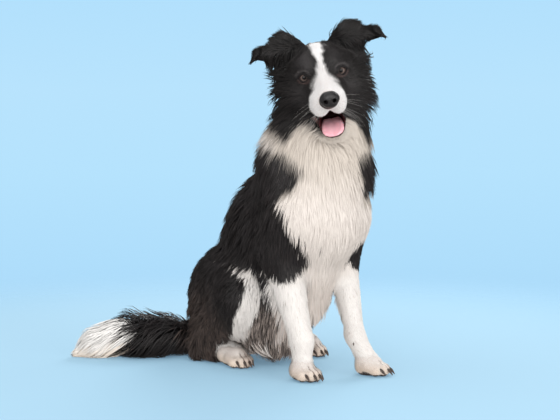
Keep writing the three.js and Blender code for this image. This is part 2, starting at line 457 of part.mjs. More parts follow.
// nose: a rounded leather pad, narrower below, with two nostrils
const noseSolid = (grow) => {
  const g = new THREE.SphereGeometry(1, 16, 11), p = g.attributes.position;
  const pw = (v, e) => Math.sign(v) * Math.abs(v) ** e;
  for (let i = 0; i < p.count; i++) {
    const x = pw(p.getX(i), 0.8), y = pw(p.getY(i), 0.85), z = pw(p.getZ(i), 0.8);
    const narrow = 1 - 0.22 * Math.max(0, -z), X = x * narrow;
    const dent = 3.4 * Math.exp(-(((Math.abs(X) - 0.5) / 0.2) ** 2 + ((z + 0.12) / 0.22) ** 2)) * (y < 0 ? 1 : 0);
    const split = 1.4 * Math.exp(-((X / 0.10) ** 2)) * (y < 0 && z < 0.1 ? 1 : 0);
    p.setXYZ(i, X * (NOSE_SIZE[0] + grow), y * (NOSE_SIZE[1] + grow) + dent + split, z * (NOSE_SIZE[2] + grow));
  }
  return solidFromGeometry(g, inHead(place(...NOSE_AT)));
};
// tongue: lies on the lower jaw, grooved, tip just over the lower lip
const TONGUE = [[4, -92, 17.5, 4.2], [-14, -94, 20.5, 4.6], [-32, -95.5, 21, 4.4], [-46, -97.5, 21, 4.0], [-57, -100, 19.5, 3.5], [-64, -102.5, 16, 2.9], [-68, -104.4, 9.5, 2.0]];
const tongueRings = TONGUE.map(([y, z, a, b], i) => ({ c: [1 - i * 0.35, y, z], a, b, ea: [1, 0, 0], eb: [0, -0.35, 0.937], tip: i === 0 ? [1, 9, -92] : [-1.5, -69.8, -105.2], shape: (t) => (Math.sin(t) > 0.75 ? 0.88 : 1) }));
const tongueSolid = (grow) => ringManifold(ringSolid(tongueRings, 12, grow), headFrame);

const eyes = { eye_left: eyeSolid(1, 0), eye_right: eyeSolid(-1, 0) };
for (const [name, side] of [['eye_left', 1], ['eye_right', -1]]) pieces.head = biggest(pieces.head.subtract(eyeSolid(side, GAP)).subtract(socket(side)));
const nose = noseSolid(0);
pieces.head = biggest(pieces.head.subtract(noseSolid(GAP)));
const tongue = tongueSolid(0);
pieces.jaw = biggest(pieces.jaw.subtract(tongueSolid(GAP)));
pieces.head = biggest(pieces.head.subtract(tongueSolid(GAP)));

// claws: four to a foot, curved down to just over the floor, and a dewclaw inside each wrist
const claws = {};
function clawSolid(root, f, length, radius, drop, grow) {
  const rings = [[0, 0, 1], [0.35, 0.06, 0.92], [0.7, 0.3, 0.62]].map(([u, d, r], i) => ({
    c: [root[0] + f[0] * length * u, root[1] + f[1] * length * u, root[2] - drop * d],
    a: radius * r, b: radius * r * 1.25, ea: [-f[1], f[0], 0], eb: [f[0] * 0.25, f[1] * 0.25, 0.968],
    tip: i === 0 ? [root[0] - f[0] * (2 + grow), root[1] - f[1] * (2 + grow), root[2]] : [root[0] + f[0] * (length + grow), root[1] + f[1] * (length + grow), root[2] - drop],
  }));
  return ringManifold(ringSolid(rings, 5, grow), new THREE.Matrix4());
}
for (const [name, tips] of Object.entries(toeTips)) {
  tips.forEach(({ root, f }, i) => {
    const r0 = [root[0] + f[0] * 8, root[1] + f[1] * 8, root[2] + 1.5];
    claws['claw_' + name + '_' + (i + 1)] = clawSolid(r0, f, CLAW_LENGTH, CLAW_RADIUS, 10.6, 0);
    pieces['paw_' + name] = biggest(pieces['paw_' + name].subtract(clawSolid(r0, f, CLAW_LENGTH, CLAW_RADIUS, 10.6, GAP)));
  });
}
for (const [side, s, at] of [['right', 1, [-51, 22, 64]], ['left', -1, [43, 14, 64]]]) {
  const f = [s * 0.5, -0.866];
  claws['claw_dew_' + side] = clawSolid(at, f, 9, 2.4, 7, 0);
  for (const n of ['leg_front_' + side, 'paw_front_' + side]) pieces[n] = biggest(pieces[n].subtract(clawSolid(at, f, 9, 2.4, 7, GAP)));
}

// ------------------------------------------------------------------ scene graph
const look = (color, roughness, metalness = 0) => new THREE.MeshStandardMaterial({ color, roughness, metalness });
const BLACK = look(0x1a191b, 0.72), WHITE = look(0xe9e4dd, 0.8), CREAM = look(0xd9c8ae, 0.8), DARK = look(0x2b2422, 0.75);
const materials = {
  head: BLACK, neck: WHITE, trunk: BLACK, tail: BLACK, jaw: WHITE, ear_left: BLACK, ear_right: BLACK,
  leg_front_left: WHITE, leg_front_right: WHITE, leg_hind_left: DARK, leg_hind_right: DARK,
  paw_front_left: WHITE, paw_front_right: WHITE, paw_hind_left: CREAM, paw_hind_right: CREAM,
  eye_left: look(0x3a2114, 0.08), eye_right: look(0x3a2114, 0.08), nose: look(0x17171a, 0.38), tongue: look(0xd98a97, 0.4),
};
const CLAW = look(0x4a3f3a, 0.45);
const dog = new THREE.Group();
const bounds = new THREE.Box3();
for (const [name, solid] of Object.entries({ ...pieces, ...eyes, nose, tongue, ...claws })) {
  const { vertProperties, triVerts } = solid.getMesh();
  const g = new THREE.BufferGeometry();
  g.setAttribute('position', new THREE.BufferAttribute(Float32Array.from(vertProperties), 3));
  g.setIndex(new THREE.BufferAttribute(Uint32Array.from(triVerts), 1));
  g.computeVertexNormals(); g.computeBoundingBox(); bounds.union(g.boundingBox);
  const mesh = new THREE.Mesh(g, materials[name] || CLAW);
  mesh.name = name;
  dog.add(mesh);
}
dog.position.set(-(bounds.min.x + bounds.max.x) / 2, -(bounds.min.y + bounds.max.y) / 2, -bounds.min.z);
export default dog;
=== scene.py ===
"""A life-size long-coated black and white sheepdog, sitting.

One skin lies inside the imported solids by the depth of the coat. Locks of hair, each a closed tapered solid,
grow from it along the lie of the coat. Eyes, nose leather, tongue and claws are pieces of their own.
Lengths in the tables are millimetres in the dog's own frame: x its left, y backwards, z up.
"""
import bpy
import json
import math
from concurrent.futures import ThreadPoolExecutor
import numpy as np
from mathutils import Matrix, Vector
from mathutils.kdtree import KDTree

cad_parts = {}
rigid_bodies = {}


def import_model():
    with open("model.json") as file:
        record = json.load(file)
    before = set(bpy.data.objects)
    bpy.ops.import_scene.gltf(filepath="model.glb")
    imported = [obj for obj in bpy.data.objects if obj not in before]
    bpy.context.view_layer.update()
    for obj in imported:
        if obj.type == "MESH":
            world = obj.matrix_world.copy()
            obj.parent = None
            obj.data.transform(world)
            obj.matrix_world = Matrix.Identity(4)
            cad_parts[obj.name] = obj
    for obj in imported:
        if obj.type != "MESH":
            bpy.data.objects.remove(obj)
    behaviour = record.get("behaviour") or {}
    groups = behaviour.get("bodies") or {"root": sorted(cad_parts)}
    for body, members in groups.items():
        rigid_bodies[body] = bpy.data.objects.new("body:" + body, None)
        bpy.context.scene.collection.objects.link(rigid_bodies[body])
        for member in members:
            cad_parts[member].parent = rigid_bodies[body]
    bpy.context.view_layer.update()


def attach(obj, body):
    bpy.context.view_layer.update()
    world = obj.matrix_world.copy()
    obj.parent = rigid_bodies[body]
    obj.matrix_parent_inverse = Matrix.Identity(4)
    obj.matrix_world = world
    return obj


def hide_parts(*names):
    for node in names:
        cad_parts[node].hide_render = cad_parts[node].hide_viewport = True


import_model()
SHIFT = np.array([97.8124, -215.2114, 0.0015])        # from the dog's own frame to the row frame
F = np.float32


def to_row(p):
    return (np.asarray(p, float) + SHIFT) / 1000.0


# ------------------------------------------------------------------ the head's frame: x left, y back, z up
HEAD_AT = np.array([-35.6, 8.0, 581.7])
TURN, NOD, TILT = math.radians(32.2), math.radians(14.0), math.radians(11.3)


def head_axes():
    fwd = np.array([-math.sin(TURN) * math.cos(NOD), -math.cos(TURN) * math.cos(NOD), -math.sin(NOD)])
    left0 = np.array([math.cos(TURN), -math.sin(TURN), 0])
    up0 = np.cross(left0, -fwd)
    c, s = math.cos(TILT), math.sin(TILT)
    return np.stack([left0 * c + up0 * s, -fwd, up0 * c - left0 * s])


HM = head_axes()
EYE_X, EYE_Y, EYE_Z, EYE_R = 35.5, 10.5, -3.5, 10.8
NOSE_AT, NOSE_SIZE = np.array([0, -90, -31.0]), np.array([18.2, 14.5, 15.8])


def to_head(p):
    return ((p - HEAD_AT.astype(p.dtype)) @ HM.T.astype(p.dtype))


def from_head(q):
    return np.asarray(q, float) @ HM + HEAD_AT


def dir_from_head(v):
    return np.asarray(v, float) @ HM


# ------------------------------------------------------------------ the body: limbs with a flesh radius and a coat depth
X = (1, 0, 0)
# name, from, to, radius there, radius here, coat depth there, here, melt width, thinning along x, lie of the hair
LIMBS = [
    ("chest", (-2, 120, 335), (-4, 200, 268), 90, 88, 28, 30, 0, 1.18, (0, .42, -.9)),
    ("loin", (-4, 200, 268), (0, 300, 146), 86, 78, 28, 22, 40, 1.12, (0, .55, -.83)),
    ("pelvis", (0, 300, 146), (0, 324, 104), 80, 81, 20, 16, 40, 1.0, (0, .42, -.9)),
    ("ruff", (-4, 62, 400), (-4, 58, 310), 46, 50, 38, 38, 50, 1, (0, .05, -1)),
    ("sternum", (0, 72, 285), (0, 98, 226), 44, 34, 28, 27, 50, 1, (0, .18, -1)),
    ("belly", (0, 165, 225), (-4, 250, 140), 50, 46, 20, 22, 50, 1, (0, .1, -1)),
    ("neck", (4, 102, 398), (14, 76, 505), 60, 46, 32, 34, 60, .93, (0, .18, -1)),
    ("mane", (38, 58, 492), (34, 72, 440), 20, 26, 24, 20, 50, 1, (.1, .1, -1)),
    ("nape", (2, 142, 384), (8, 94, 500), 36, 31, 20, 16, 40, 1, (0, .35, -1)),
    ("shoulder", (-46, 104, 384), (-62, 50, 306), 38, 38, 20, 22, 36, 1, (0, .16, -1)),
    ("shoulder", (44, 112, 392), (48, 68, 306), 38, 36, 22, 12, 36, 1, (0, .16, -1)),
    ("arm", (-62, 50, 306), (-78, 88, 246), 37, 30, 20, 16, 34, 1, (0, .28, -1)),
    ("arm", (48, 68, 306), (64, 88, 246), 36, 28, 13, 10, 34, 1, (0, .28, -1)),
    ("fore", (-80, 86, 244), (-68, 28, 74), 27, 16.5, 12, 7, 26, 1, (0, -.1, -1)),
    ("fore", (65, 86, 244), (55, 24, 74), 24, 14.5, 8, 3.5, 26, 1, (0, -.1, -1)),
    ("thigh", (-58, 325, 128), (-88, 222, 146), 78, 52, 18, 14, 50, 1.45, (0, .3, -1)),
    ("thigh", (56, 328, 128), (76, 246, 142), 76, 50, 18, 12, 50, 1.45, (0, .3, -1)),
    ("knee", (-88, 214, 148), (-102, 188, 142), 46, 38, 12, 10, 30, 1.15, (0, .22, -1)),
    ("knee", (76, 244, 142), (86, 226, 136), 44, 35, 12, 8, 30, 1.15, (0, .22, -1)),
    ("shin", (-102, 192, 134), (-94, 322, 44), 36, 20, 10, 10, 26, 1, (0, .35, -.9)),
    ("shin", (86, 228, 126), (92, 326, 44), 34, 20, 8, 10, 26, 1, (0, .35, -.9)),
    ("hock", (-94, 330, 32), (-104, 246, 22), 17, 18, 8, 4, 18, 1, (0, -1, -.25)),
    ("hock", (94, 330, 32), (100, 250, 22), 17, 18, 8, 4, 18, 1, (0, -1, -.25)),
    ("feather", (-94, 290, 72), (-108, 330, 26), 24, 14, 16, 24, 30, 1, (0, .25, -1)),
    ("feather", (92, 300, 72), (98, 335, 26), 24, 14, 12, 16, 30, 1, (0, .25, -1)),
    ("skirt", (-34, 168, 150), (-40, 196, 52), 26, 8, 22, 32, 44, 1, (-.05, .15, -1)),
    ("skirt", (-10, 190, 130), (14, 222, 44), 24, 8, 20, 30, 44, 1, (0, .15, -1)),
    ("apron", (2, 92, 205), (6, 112, 118), 18, 6, 20, 26, 36, 1, (.02, .05, -1)),
    ("rump", (0, 350, 96), (0, 372, 70), 60, 52, 22, 24, 50, .85, (0, .25, -1)),
]
PAW_TABLE = [("front_right", (-68, 28, 74), (-62, -14, 0), 40), ("front_left", (55, 24, 74), (94, -34, 0), 40),
             ("hind_right", (-98, 262, 30), (-96, 180, 0), 38), ("hind_left", (99, 262, 30), (108, 206, 0), 36)]
TOES = ((-1.5, 10, 10.5), (-.52, 0, 11.5), (.52, 0, 11.5), (1.5, 10, 10.5))
TAIL = [
    ("tail", (0, 380, 64), (-64, 400, 34), 22, 17, 14, 12, 30, 1, (-.9, .25, -.3)),
    ("tail", (-64, 400, 32), (-140, 412, 38), 17, 15, 12, 33, 20, 1, (-.95, .2, -.3)),
    ("tail", (-140, 412, 38), (-222, 444, 42), 15, 11, 35, 41, 20, 1, (-.92, .38, -.22)),
    ("tail", (-222, 444, 42), (-284, 474, 31), 11, 6, 41, 28, 20, 1, (-.9, .45, -.18)),
    ("tail", (-284, 474, 24), (-322, 497, 9), 6, 2, 20, 6, 20, 1, (-.86, .45, -.3)),
]
toe_tips = {}


def paw_limbs():
    out = []
    for name, wrist, toe, width in PAW_TABLE:
        wrist, toe = np.array(wrist, float), np.array(toe, float)
        f = toe - wrist; f[2] = 0; f /= np.linalg.norm(f)
        s = np.array([-f[1], f[0], 0])

        def at(back, side, z):
            p = toe - f * back + s * side
            return (p[0], p[1], z)
        lie = tuple(f * .9 + np.array([0, 0, -.45]))
        out.append(("pastern", tuple(wrist), at(42, 0, 22), 14.5, 18.5, 4.5, 3, 14, 1, lie))
        out.append(("pad", at(50, 0, 17), at(32, 0, 17), 18.5, 18.5, 3, 3, 12, 1, lie))
        toe_tips[name] = []
        for o, back, r in TOES:
            out.append(("toe", at(36 + back * .4, o * width * .26, 17), at(12 + back, o * width * .30, 11.5), 10.5, r, 3, 2.4, 4, 1, lie))
            toe_tips[name].append((np.array(at(12 + back, o * width * .30, 12.5)), f))
    return out


BODY = LIMBS + paw_limbs() + TAIL


def smin(a, b, k):
    if k <= 0:
        return np.minimum(a, b)
    h = np.maximum(k - np.abs(a - b), 0) * F(1 / k)
    return np.minimum(a, b) - h * h * F(k * .25)


def limb(p, a, b, ra, rb, n=None, f=1.0, ca=0.0, cb=0.0, both=False):
    """Distance to a tapered limb; with both, also to the same limb in its coat."""
    a = np.asarray(a, p.dtype); b = np.asarray(b, p.dtype)
    ba = b - a; pa = p - a
    t = np.clip((pa @ ba) / float(ba @ ba), 0, 1)
    q = pa - t[..., None] * ba
    r = F(ra) + F(rb - ra) * t
    if f == 1.0:
        L = np.sqrt((q * q).sum(-1)); div = None
    else:
        n = np.asarray(n, p.dtype); n = n / np.linalg.norm(n)
        q = q + (q @ n)[..., None] * (F(f - 1) * n)
        L = np.maximum(np.sqrt((q * q).sum(-1)), 1e-6)
        g = q + (q @ n)[..., None] * (F(f - 1) * n)
        div = np.maximum(np.sqrt((g * g).sum(-1)) / L, 1.0 if f >= 1 else 0.6)
    d0 = L - r
    if div is not None:
        d0 = d0 / div
    if not both:
        return d0
    d1 = L - (r + F(ca) + F(cb - ca) * t)
    if div is not None:
        d1 = d1 / div
    return d0, d1


def ball(p, c, r):
    q = p - np.asarray(c, p.dtype)
    r = np.asarray(r, p.dtype)
    k0 = np.sqrt(((q / r) ** 2).sum(-1)); k1 = np.sqrt(((q / (r * r)) ** 2).sum(-1))
    return k0 * (k0 - 1) / np.maximum(k1, 1e-9)


def body_pair(P):
    d0 = d1 = None
    for name, a, b, ra, rb, ca, cb, k, f, lie in BODY:
        v0, v1 = limb(P, a, b, ra, rb, X, f, ca, cb, True)
        d0, d1 = (v0, v1) if d0 is None else (smin(d0, v0, k), smin(d1, v1, k))
    return d0, d1


HEAD_PARTS = [  # from, to, radii, coat depths, melt
    ((25, 8, 14), (42, 33, 8), 10, 15, 2, 6, 12), ((39, 20, -16), (50, 50, -14), 15, 21, 3, 14, 16),
    ((0, 6, -14), (0, -68, -27), 24, 13.5, 1.5, 1.5, 16), ((17, -2, -31), (12, -64, -39), 19, 16, 2, 2, 11),
    ((0, -62, -34), (0, -80, -37), 16, 14, 2, 1.5, 10), ((24, -14, -48), (17, -62, -52.5), 13, 12.5, 2.5, 2, 10),
    ((38, 44, -40), (34, 18, -56), 24, 14, 14, 9, 24)]
JAW_PARTS = [((28, 34, -62), (13, -48, -95), 13, 9, 6, 2, 0), ((5, -36, -96), (5, -57, -102), 14, 11, 2, 1.5, 10),
             ((0, 40, -70), (0, -30, -96), 24, 13, 10, 3, 18)]
EAR_PARTS = [((38, 58, 42), (60, 53, 54), 17, 15, 10, 11, 0, (.25, -.9, .3), 2.6),
             ((60, 53, 54), (102, 45, 53.5), 13, 9.5, 10, 8, 16, (.25, -.9, .3), 2.8),
             ((102, 45, 54), (115, 41, 55), 8.5, 7.5, 7, 5, 8, (.25, -.9, .3), 2.6),
             ((115, 41, 55), (130, 36, 38.5), 7.5, 1.2, 5, 2.2, 5, (.8, -.5, .4), 2.0)]
SKIRT_SHIFT, RUFF_SHIFT = 6.0, 8.0                  # the hair of ears and cheeks is fuller on the dog's right


def mirrored(q):
    p = q.copy(); p[..., 0] = np.abs(q[..., 0])
    return p


def mouth_field(p):
    d = limb(p, (0, 16, -68), (0, -40, -76), 13, 22, (0, .3, 1), 2.2)
    return smin(d, limb(p, (0, -40, -76), (0, -100, -84), 22, 30, (0, .25, 1), 1.9), 8)


# the tongue: middle line, half width, half height
TONGUE = [(4, -92, 17.5, 4.2), (-14, -94, 20.5, 4.6), (-32, -95.5, 21, 4.4), (-46, -97.5, 21, 4), (-57, -100, 19.5, 3.5), (-64, -102.5, 16, 2.9), (-68, -104.4, 9.5, 2)]
LEAN = ((-72, -60, -34, 4), (-1.5, -.6, .5, 1.0))           # the tongue's middle line, by how far forward


def tongue_room(q):
    """Below 0 in the room that the tongue lies in, from its middle upwards."""
    p = q.copy(); p[..., 0] = q[..., 0] - np.interp(q[..., 1], *LEAN).astype(q.dtype)
    n = (0, .35, .937)
    d = limb(p, (0, 8, -84), (0, -34, -88), 20, 23.5, n, 1.8)
    d = smin(d, limb(p, (0, -34, -88), (0, -58, -92), 23.5, 22, n, 1.9), 4)
    return smin(d, limb(p, (0, -58, -92), (0, -84, -98), 22, 18.5, n, 2.1), 4)


def ears_pair(p):
    d0 = d1 = None
    for a, b, ra, rb, ca, cb, k, n, f in EAR_PARTS:
        v0, v1 = limb(p, a, b, ra, rb, n, f, ca, cb, True)
        d0, d1 = (v0, v1) if d0 is None else (smin(d0, v0, k), smin(d1, v1, k))
    return d0, d1


def shifted(q, by):
    p = q.copy(); p[..., 0] = np.abs(q[..., 0] + q.dtype.type(by))
    return p


def ear_skirt(q):
    """Below 0 in the hair that hangs from the ears."""
    return limb(shifted(q, SKIRT_SHIFT), (66, 58, 44), (74, 60, -8), 30, 26, (.2, -1, 0), 1.6)


def head_pair(q):
    p = mirrored(q)
    d0 = ball(p, (0, 56, 2), (50, 62, 43)); d1 = ball(p, (0, 56, 2), (56, 68, 47))
    d0 = smin(d0, ball(p, (0, 22, 10), (38, 34, 29)), 20); d1 = smin(d1, ball(p, (0, 22, 10), (41, 36, 34)), 20)
    for a, b, ra, rb, ca, cb, k in HEAD_PARTS:
        v0, v1 = limb(p, a, b, ra, rb, None, 1.0, ca, cb, True)
        d0, d1 = smin(d0, v0, k), smin(d1, v1, k)
    d1 = smin(d1, limb(shifted(q, RUFF_SHIFT), (50, 60, -44), (50, 56, -94), 36, 36), 30)
    j0 = j1 = None
    for a, b, ra, rb, ca, cb, k in JAW_PARTS:
        v0, v1 = limb(p, a, b, ra, rb, None, 1.0, ca, cb, True)
        j0, j1 = (v0, v1) if j0 is None else (smin(j0, v0, k), smin(j1, v1, k))
    d0, d1 = smin(d0, j0, 16), smin(d1, j1, 16)
    e0, e1 = ears_pair(p)
    e1 = smin(e1, ear_skirt(q), 20)
    d0, d1 = smin(d0, e0, 14), smin(d1, e1, 14)
    m = mouth_field(p)
    return np.maximum(d0, -m), np.maximum(d1, -m)


def pair(P):
    """Distances to the flesh and to the tips of the coat."""
    b0, b1 = body_pair(P)
    q = to_head(P)
    near = (q * q).sum(-1) < 240.0 ** 2
    if near.any():
        h0, h1 = head_pair(q[near])
        b0 = b0.copy(); b1 = b1.copy()
        b0[near] = smin(b0[near], h0, 34); b1[near] = smin(b1[near], h1, 34)
    return np.maximum(b0, -P[..., 2]), np.maximum(b1, -P[..., 2])


# lids: a rim over each eyeball, opened by an almond
EYES = [np.array([s * EYE_X, EYE_Y, EYE_Z]) for s in (1, -1)]
GAZE = {1: np.array([-.04, -.977, .20]), -1: np.array([.0, -.977, .20])}
OPEN = {s: np.array([s * .10, -.97, .17]) for s in (1, -1)}
for _d in (GAZE, OPEN):
    for _s in (1, -1):
        _d[_s] = _d[_s] / np.linalg.norm(_d[_s])


def eye_plane(q, s):
    """Place in the plane of the lids' opening: along the lids, up, and out of the head."""
    a = OPEN[s].astype(q.dtype)
    u = np.cross(a, np.array([0, 0, 1.0])); u = u / np.linalg.norm(u) * -s   # away from the nose
    if u[0] * s < 0:
        u = -u
    v = np.cross(u, a)
    if v[2] < 0:
        v = -v
    p = q - EYES[0 if s == 1 else 1].astype(q.dtype)
    tilt = math.radians(9)
    u2 = u * math.cos(tilt) + v * math.sin(tilt); v2 = v * math.cos(tilt) - u * math.sin(tilt)
    return p @ u2.astype(q.dtype), p @ v2.astype(q.dtype), p @ a


def smax(a, b, k):
    return -smin(-a, -b, k)


def almond(u, v):
    w = np.clip(np.abs(u) / 9.7, 0, 1.5) ** 2.2
    top = 6.1 * (1 - w); low = 6.3 * (1 - w)
    return smax(v - top, -v - low, 1.2) * .78


def lids(q, d):
    for i, s in enumerate((1, -1)):
        r2 = ((q - EYES[i].astype(q.dtype)) ** 2).sum(-1)
        m = r2 < 26.0 ** 2
        if not m.any():
            continue
        k = q[m]
        rr = np.sqrt(r2[m])
        dm = smin(d[m], rr - F(EYE_R + 1.9), 6)
        u, v, w = eye_plane(k, s)
        # a crease above the upper lid and a fainter one below the lower
        high = v - (9.6 - .030 * u * u)
        low = v + (9.2 - .030 * u * u)
        fade = np.exp(-(u / 11.0) ** 4)
        dm = dm + fade * (1.1 * np.exp(-(high / 1.5) ** 2) + .6 * np.exp(-(low / 1.5) ** 2)) * (w > 0)
        dm = smax(dm, -np.maximum(almond(u, v), F(2.0) - w), 1.5)
        d = d.copy(); d[m] = dm
    return d


def skin_field(P):
    d = pair(P)[0]
    q = to_head(P)
    near = (q * q).sum(-1) < 150.0 ** 2
    if near.any():
        k = q[near]
        dk = lids(k, d[near])
        # the cleft under the nose, and a dimple where the nose leather sits
        dk = np.maximum(dk, -(limb(k, (0, -101, -44), (0, -91, -60), 1.5, 1.2)))
        dk = smax(dk, -tongue_room(k), 1.5)
        # the corners of the lips
        dk = smax(dk, -limb(k, (-42, 4, -64), (-25, -46, -86), 2.4, 3.4), 2.0)
        dk = smax(dk, -limb(k, (38, 0, -72), (25, -46, -88), 1.8, 3.0), 2.0)
        d = d.copy(); d[near] = dk
    return d


POOL = ThreadPoolExecutor(4)


def spread(fn, P, chunk=60000):
    parts = [P[i:i + chunk] for i in range(0, len(P), chunk)] or [P]
    out = list(POOL.map(fn, parts))
    if isinstance(out[0], tuple):
        return tuple(np.concatenate([o[j] for o in out]) for j in range(len(out[0])))
    return np.concatenate(out)


def gradient(fn, P, d, e=0.6):
    g = np.empty_like(P)
    for k in range(3):
        Q = P.copy(); Q[:, k] += F(e)
        g[:, k] = (spread(fn, Q) - d) / F(e)
    return g


def unit(v):
    return v / np.maximum(np.linalg.norm(v, axis=-1, keepdims=True), 1e-9)


# ------------------------------------------------------------------ a surface from a field
def blocks_near(fn, lo, hi, size, reach):
    n = np.ceil((np.asarray(hi) - lo) / size).astype(int)
    G = np.stack(np.meshgrid(*[np.arange(k) for k in n], indexing="ij"), -1).reshape(-1, 3)
    C = (lo + (G + .5) * size).astype(F)
    return G[np.abs(spread(fn, C)) < reach]


def surface(fn, lo, hi, h, cells=8, reach=None):
    """Surface nets over the blocks that the surface may cross: points, quads, and each point's cell."""
    lo = np.asarray(lo, float)
    size = h * cells
    B = blocks_near(fn, lo, hi, size, reach or size * 1.35)
    n = cells + 1
    L = np.stack(np.meshgrid(*[np.arange(n)] * 3, indexing="ij"), -1)
    dims = np.ceil((np.asarray(hi) - lo) / size).astype(int) * cells + 2
    grid = {}
    P = (lo + (B[:, None, None, None] * cells + L[None]) * h).astype(F)
    D = spread(lambda b: fn(b.reshape(-1, 3)).reshape(b.shape[:4]), P, 200)
    S = D < 0
    cnt = sum(S[:, x:x + cells, y:y + cells, z:z + cells].astype(np.int8) for x in (0, 1) for y in (0, 1) for z in (0, 1))
    W = np.argwhere((cnt > 0) & (cnt < 8))
    b, c = W[:, 0], W[:, 1:]
    acc = np.zeros((len(W), 3)); num = np.zeros(len(W))
    for ax in range(3):
        o = [k for k in range(3) if k != ax]
        for u in (0, 1):
            for v in (0, 1):
                o0 = np.zeros(3, int); o0[o[0]] = u; o0[o[1]] = v
                o1 = o0.copy(); o1[ax] = 1
                va = D[(b, *(c + o0).T)]; vb = D[(b, *(c + o1).T)]
                m = (va < 0) != (vb < 0)
                t = np.where(m, va / np.where(m, va - vb, 1), 0)
                pos = (c + o0).astype(float); pos[:, ax] += t
                acc += pos * m[:, None]; num += m
    cell = B[b] * cells + c
    V = lo + (B[b] * cells + acc / num[:, None]) * h
    key = (cell[:, 0] * dims[1] + cell[:, 1]) * dims[2] + cell[:, 2]
    order = np.argsort(key); skey = key[order]

    def find(cc):
        k = (cc[:, 0] * dims[1] + cc[:, 1]) * dims[2] + cc[:, 2]
        i = np.clip(np.searchsorted(skey, k), 0, len(skey) - 1)
        return np.where(skey[i] == k, order[i], -1)
    quads = []
    for ax in range(3):
        o = [(ax + 1) % 3, (ax + 2) % 3]
        s0 = [slice(None)] + [slice(0, cells)] * 3; s1 = list(s0)
        s1[1 + ax] = slice(1, cells + 1)
        a, bb = S[tuple(s0)], S[tuple(s1)]
        E = np.argwhere(a != bb)
        flip = a[tuple(E.T)]
        g = B[E[:, 0]] * cells + E[:, 1:]
        q = []
        for u, v in ((-1, -1), (0, -1), (0, 0), (-1, 0)):
            k = g.copy(); k[:, o[0]] += u; k[:, o[1]] += v
            q.append(find(k))
        q = np.stack(q, 1)
        q[~flip] = q[~flip][:, ::-1]
        quads.append(q[(q >= 0).all(1)])
    return V, np.concatenate(quads), cell


def to_tris(V, Q):
    a = np.linalg.norm(V[Q[:, 0]] - V[Q[:, 2]], axis=1); b = np.linalg.norm(V[Q[:, 1]] - V[Q[:, 3]], axis=1)
    m = a <= b
    return np.concatenate([Q[m][:, [0, 1, 2]], Q[m][:, [0, 2, 3]], Q[~m][:, [0, 1, 3]], Q[~m][:, [1, 2, 3]]])


def settle(fn, V, steps=2, cap=2.0):
    P = V.astype(F)
    for _ in range(steps):
        d = spread(fn, P); g = gradient(fn, P, d)
        n2 = np.maximum((g * g).sum(1), .2)
        step = np.clip(d / np.sqrt(n2), -cap, cap)
        P = P - g / np.sqrt(n2)[:, None] * step[:, None]
    return P.astype(float)


def split_edges(V, T, target, passes=3):
    """Halves edges longer than target(point), keeping the surface whole."""
    for _ in range(passes):
        E = np.concatenate([T[:, [0, 1]], T[:, [1, 2]], T[:, [2, 0]]])
        Es = np.sort(E, 1)
        key = Es[:, 0].astype(np.int64) * len(V) + Es[:, 1]
        uk, inv = np.unique(key, return_inverse=True)
        A, B = uk // len(V), uk % len(V)
        mid = (V[A] + V[B]) / 2
        long = np.linalg.norm(V[A] - V[B], axis=1) > target(mid)
        if not long.any():
            break
        new = -np.ones(len(uk), np.int64); new[long] = len(V) + np.arange(long.sum())
        V = np.concatenate([V, mid[long]])
        m = new[inv].reshape(3, -1).T                     # midpoints of edges 01, 12, 20
        cut = m >= 0; n = cut.sum(1)
        out = [T[n == 0]]
        for k in range(3):                                # one edge cut
            s = (n == 1) & cut[:, k]
            t, mm = T[s], m[s, k]
            a, b, c = t[:, k], t[:, (k + 1) % 3], t[:, (k + 2) % 3]
            out += [np.stack([a, mm, c], 1), np.stack([mm, b, c], 1)]
            s = (n == 2) & ~cut[:, k]                     # the edge k is whole
            t = T[s]
            a, b, c = t[:, k], t[:, (k + 1) % 3], t[:, (k + 2) % 3]
            m1, m2 = m[s, (k + 1) % 3], m[s, (k + 2) % 3]  # on bc, on ca
            out += [np.stack([m1, c, m2], 1), np.stack([a, b, m1], 1), np.stack([a, m1, m2], 1)]
        s = n == 3
        t, mm = T[s], m[s]
        out += [np.stack([t[:, 0], mm[:, 0], mm[:, 2]], 1), np.stack([mm[:, 0], t[:, 1], mm[:, 1]], 1),
                np.stack([mm[:, 2], mm[:, 1], t[:, 2]], 1), mm]
        T = np.concatenate(out)
    return V, T


def relax(V, T, weight=.5):
    n = len(V)
    acc = np.zeros((n, 3)); num = np.zeros(n)
    for i, j in ((0, 1), (1, 2), (2, 0)):
        for a, b in ((i, j), (j, i)):
            for k in range(3):
                acc[:, k] += np.bincount(T[:, a], V[T[:, b], k], n)
            num += np.bincount(T[:, a], minlength=n)
    return V + (acc / np.maximum(num, 1)[:, None] - V) * np.asarray(weight).reshape(-1, 1)


def mesh_object(name, V, T, smooth=True, row=True):
    me = bpy.data.meshes.new(name)
    P = to_row(V) if row else np.asarray(V, float)
    me.vertices.add(len(P)); me.vertices.foreach_set("co", P.astype(F).ravel())
    T = np.asarray(T, np.int32); n = T.shape[1]
    me.loops.add(T.size); me.loops.foreach_set("vertex_index", T.ravel())
    me.polygons.add(len(T))
    me.polygons.foreach_set("loop_start", np.arange(0, T.size, n, dtype=np.int32))
    me.polygons.foreach_set("loop_total", np.full(len(T), n, np.int32))
    me.polygons.foreach_set("use_smooth", np.full(len(T), smooth))
    me.update(calc_edges=True)
    me.validate()
    ob = bpy.data.objects.new(name, me)
    bpy.context.scene.collection.objects.link(ob)
    return ob


def attribute(ob, name, values, domain="POINT"):
    values = np.asarray(values, F)
    kind = "FLOAT" if values.ndim == 1 else "FLOAT_VECTOR" if values.shape[1] == 3 else "FLOAT_COLOR"
    at = ob.data.attributes.new(name, kind, domain)
    at.data.foreach_set({"FLOAT": "value", "FLOAT_VECTOR": "vector", "FLOAT_COLOR": "color"}[kind], values.ravel())


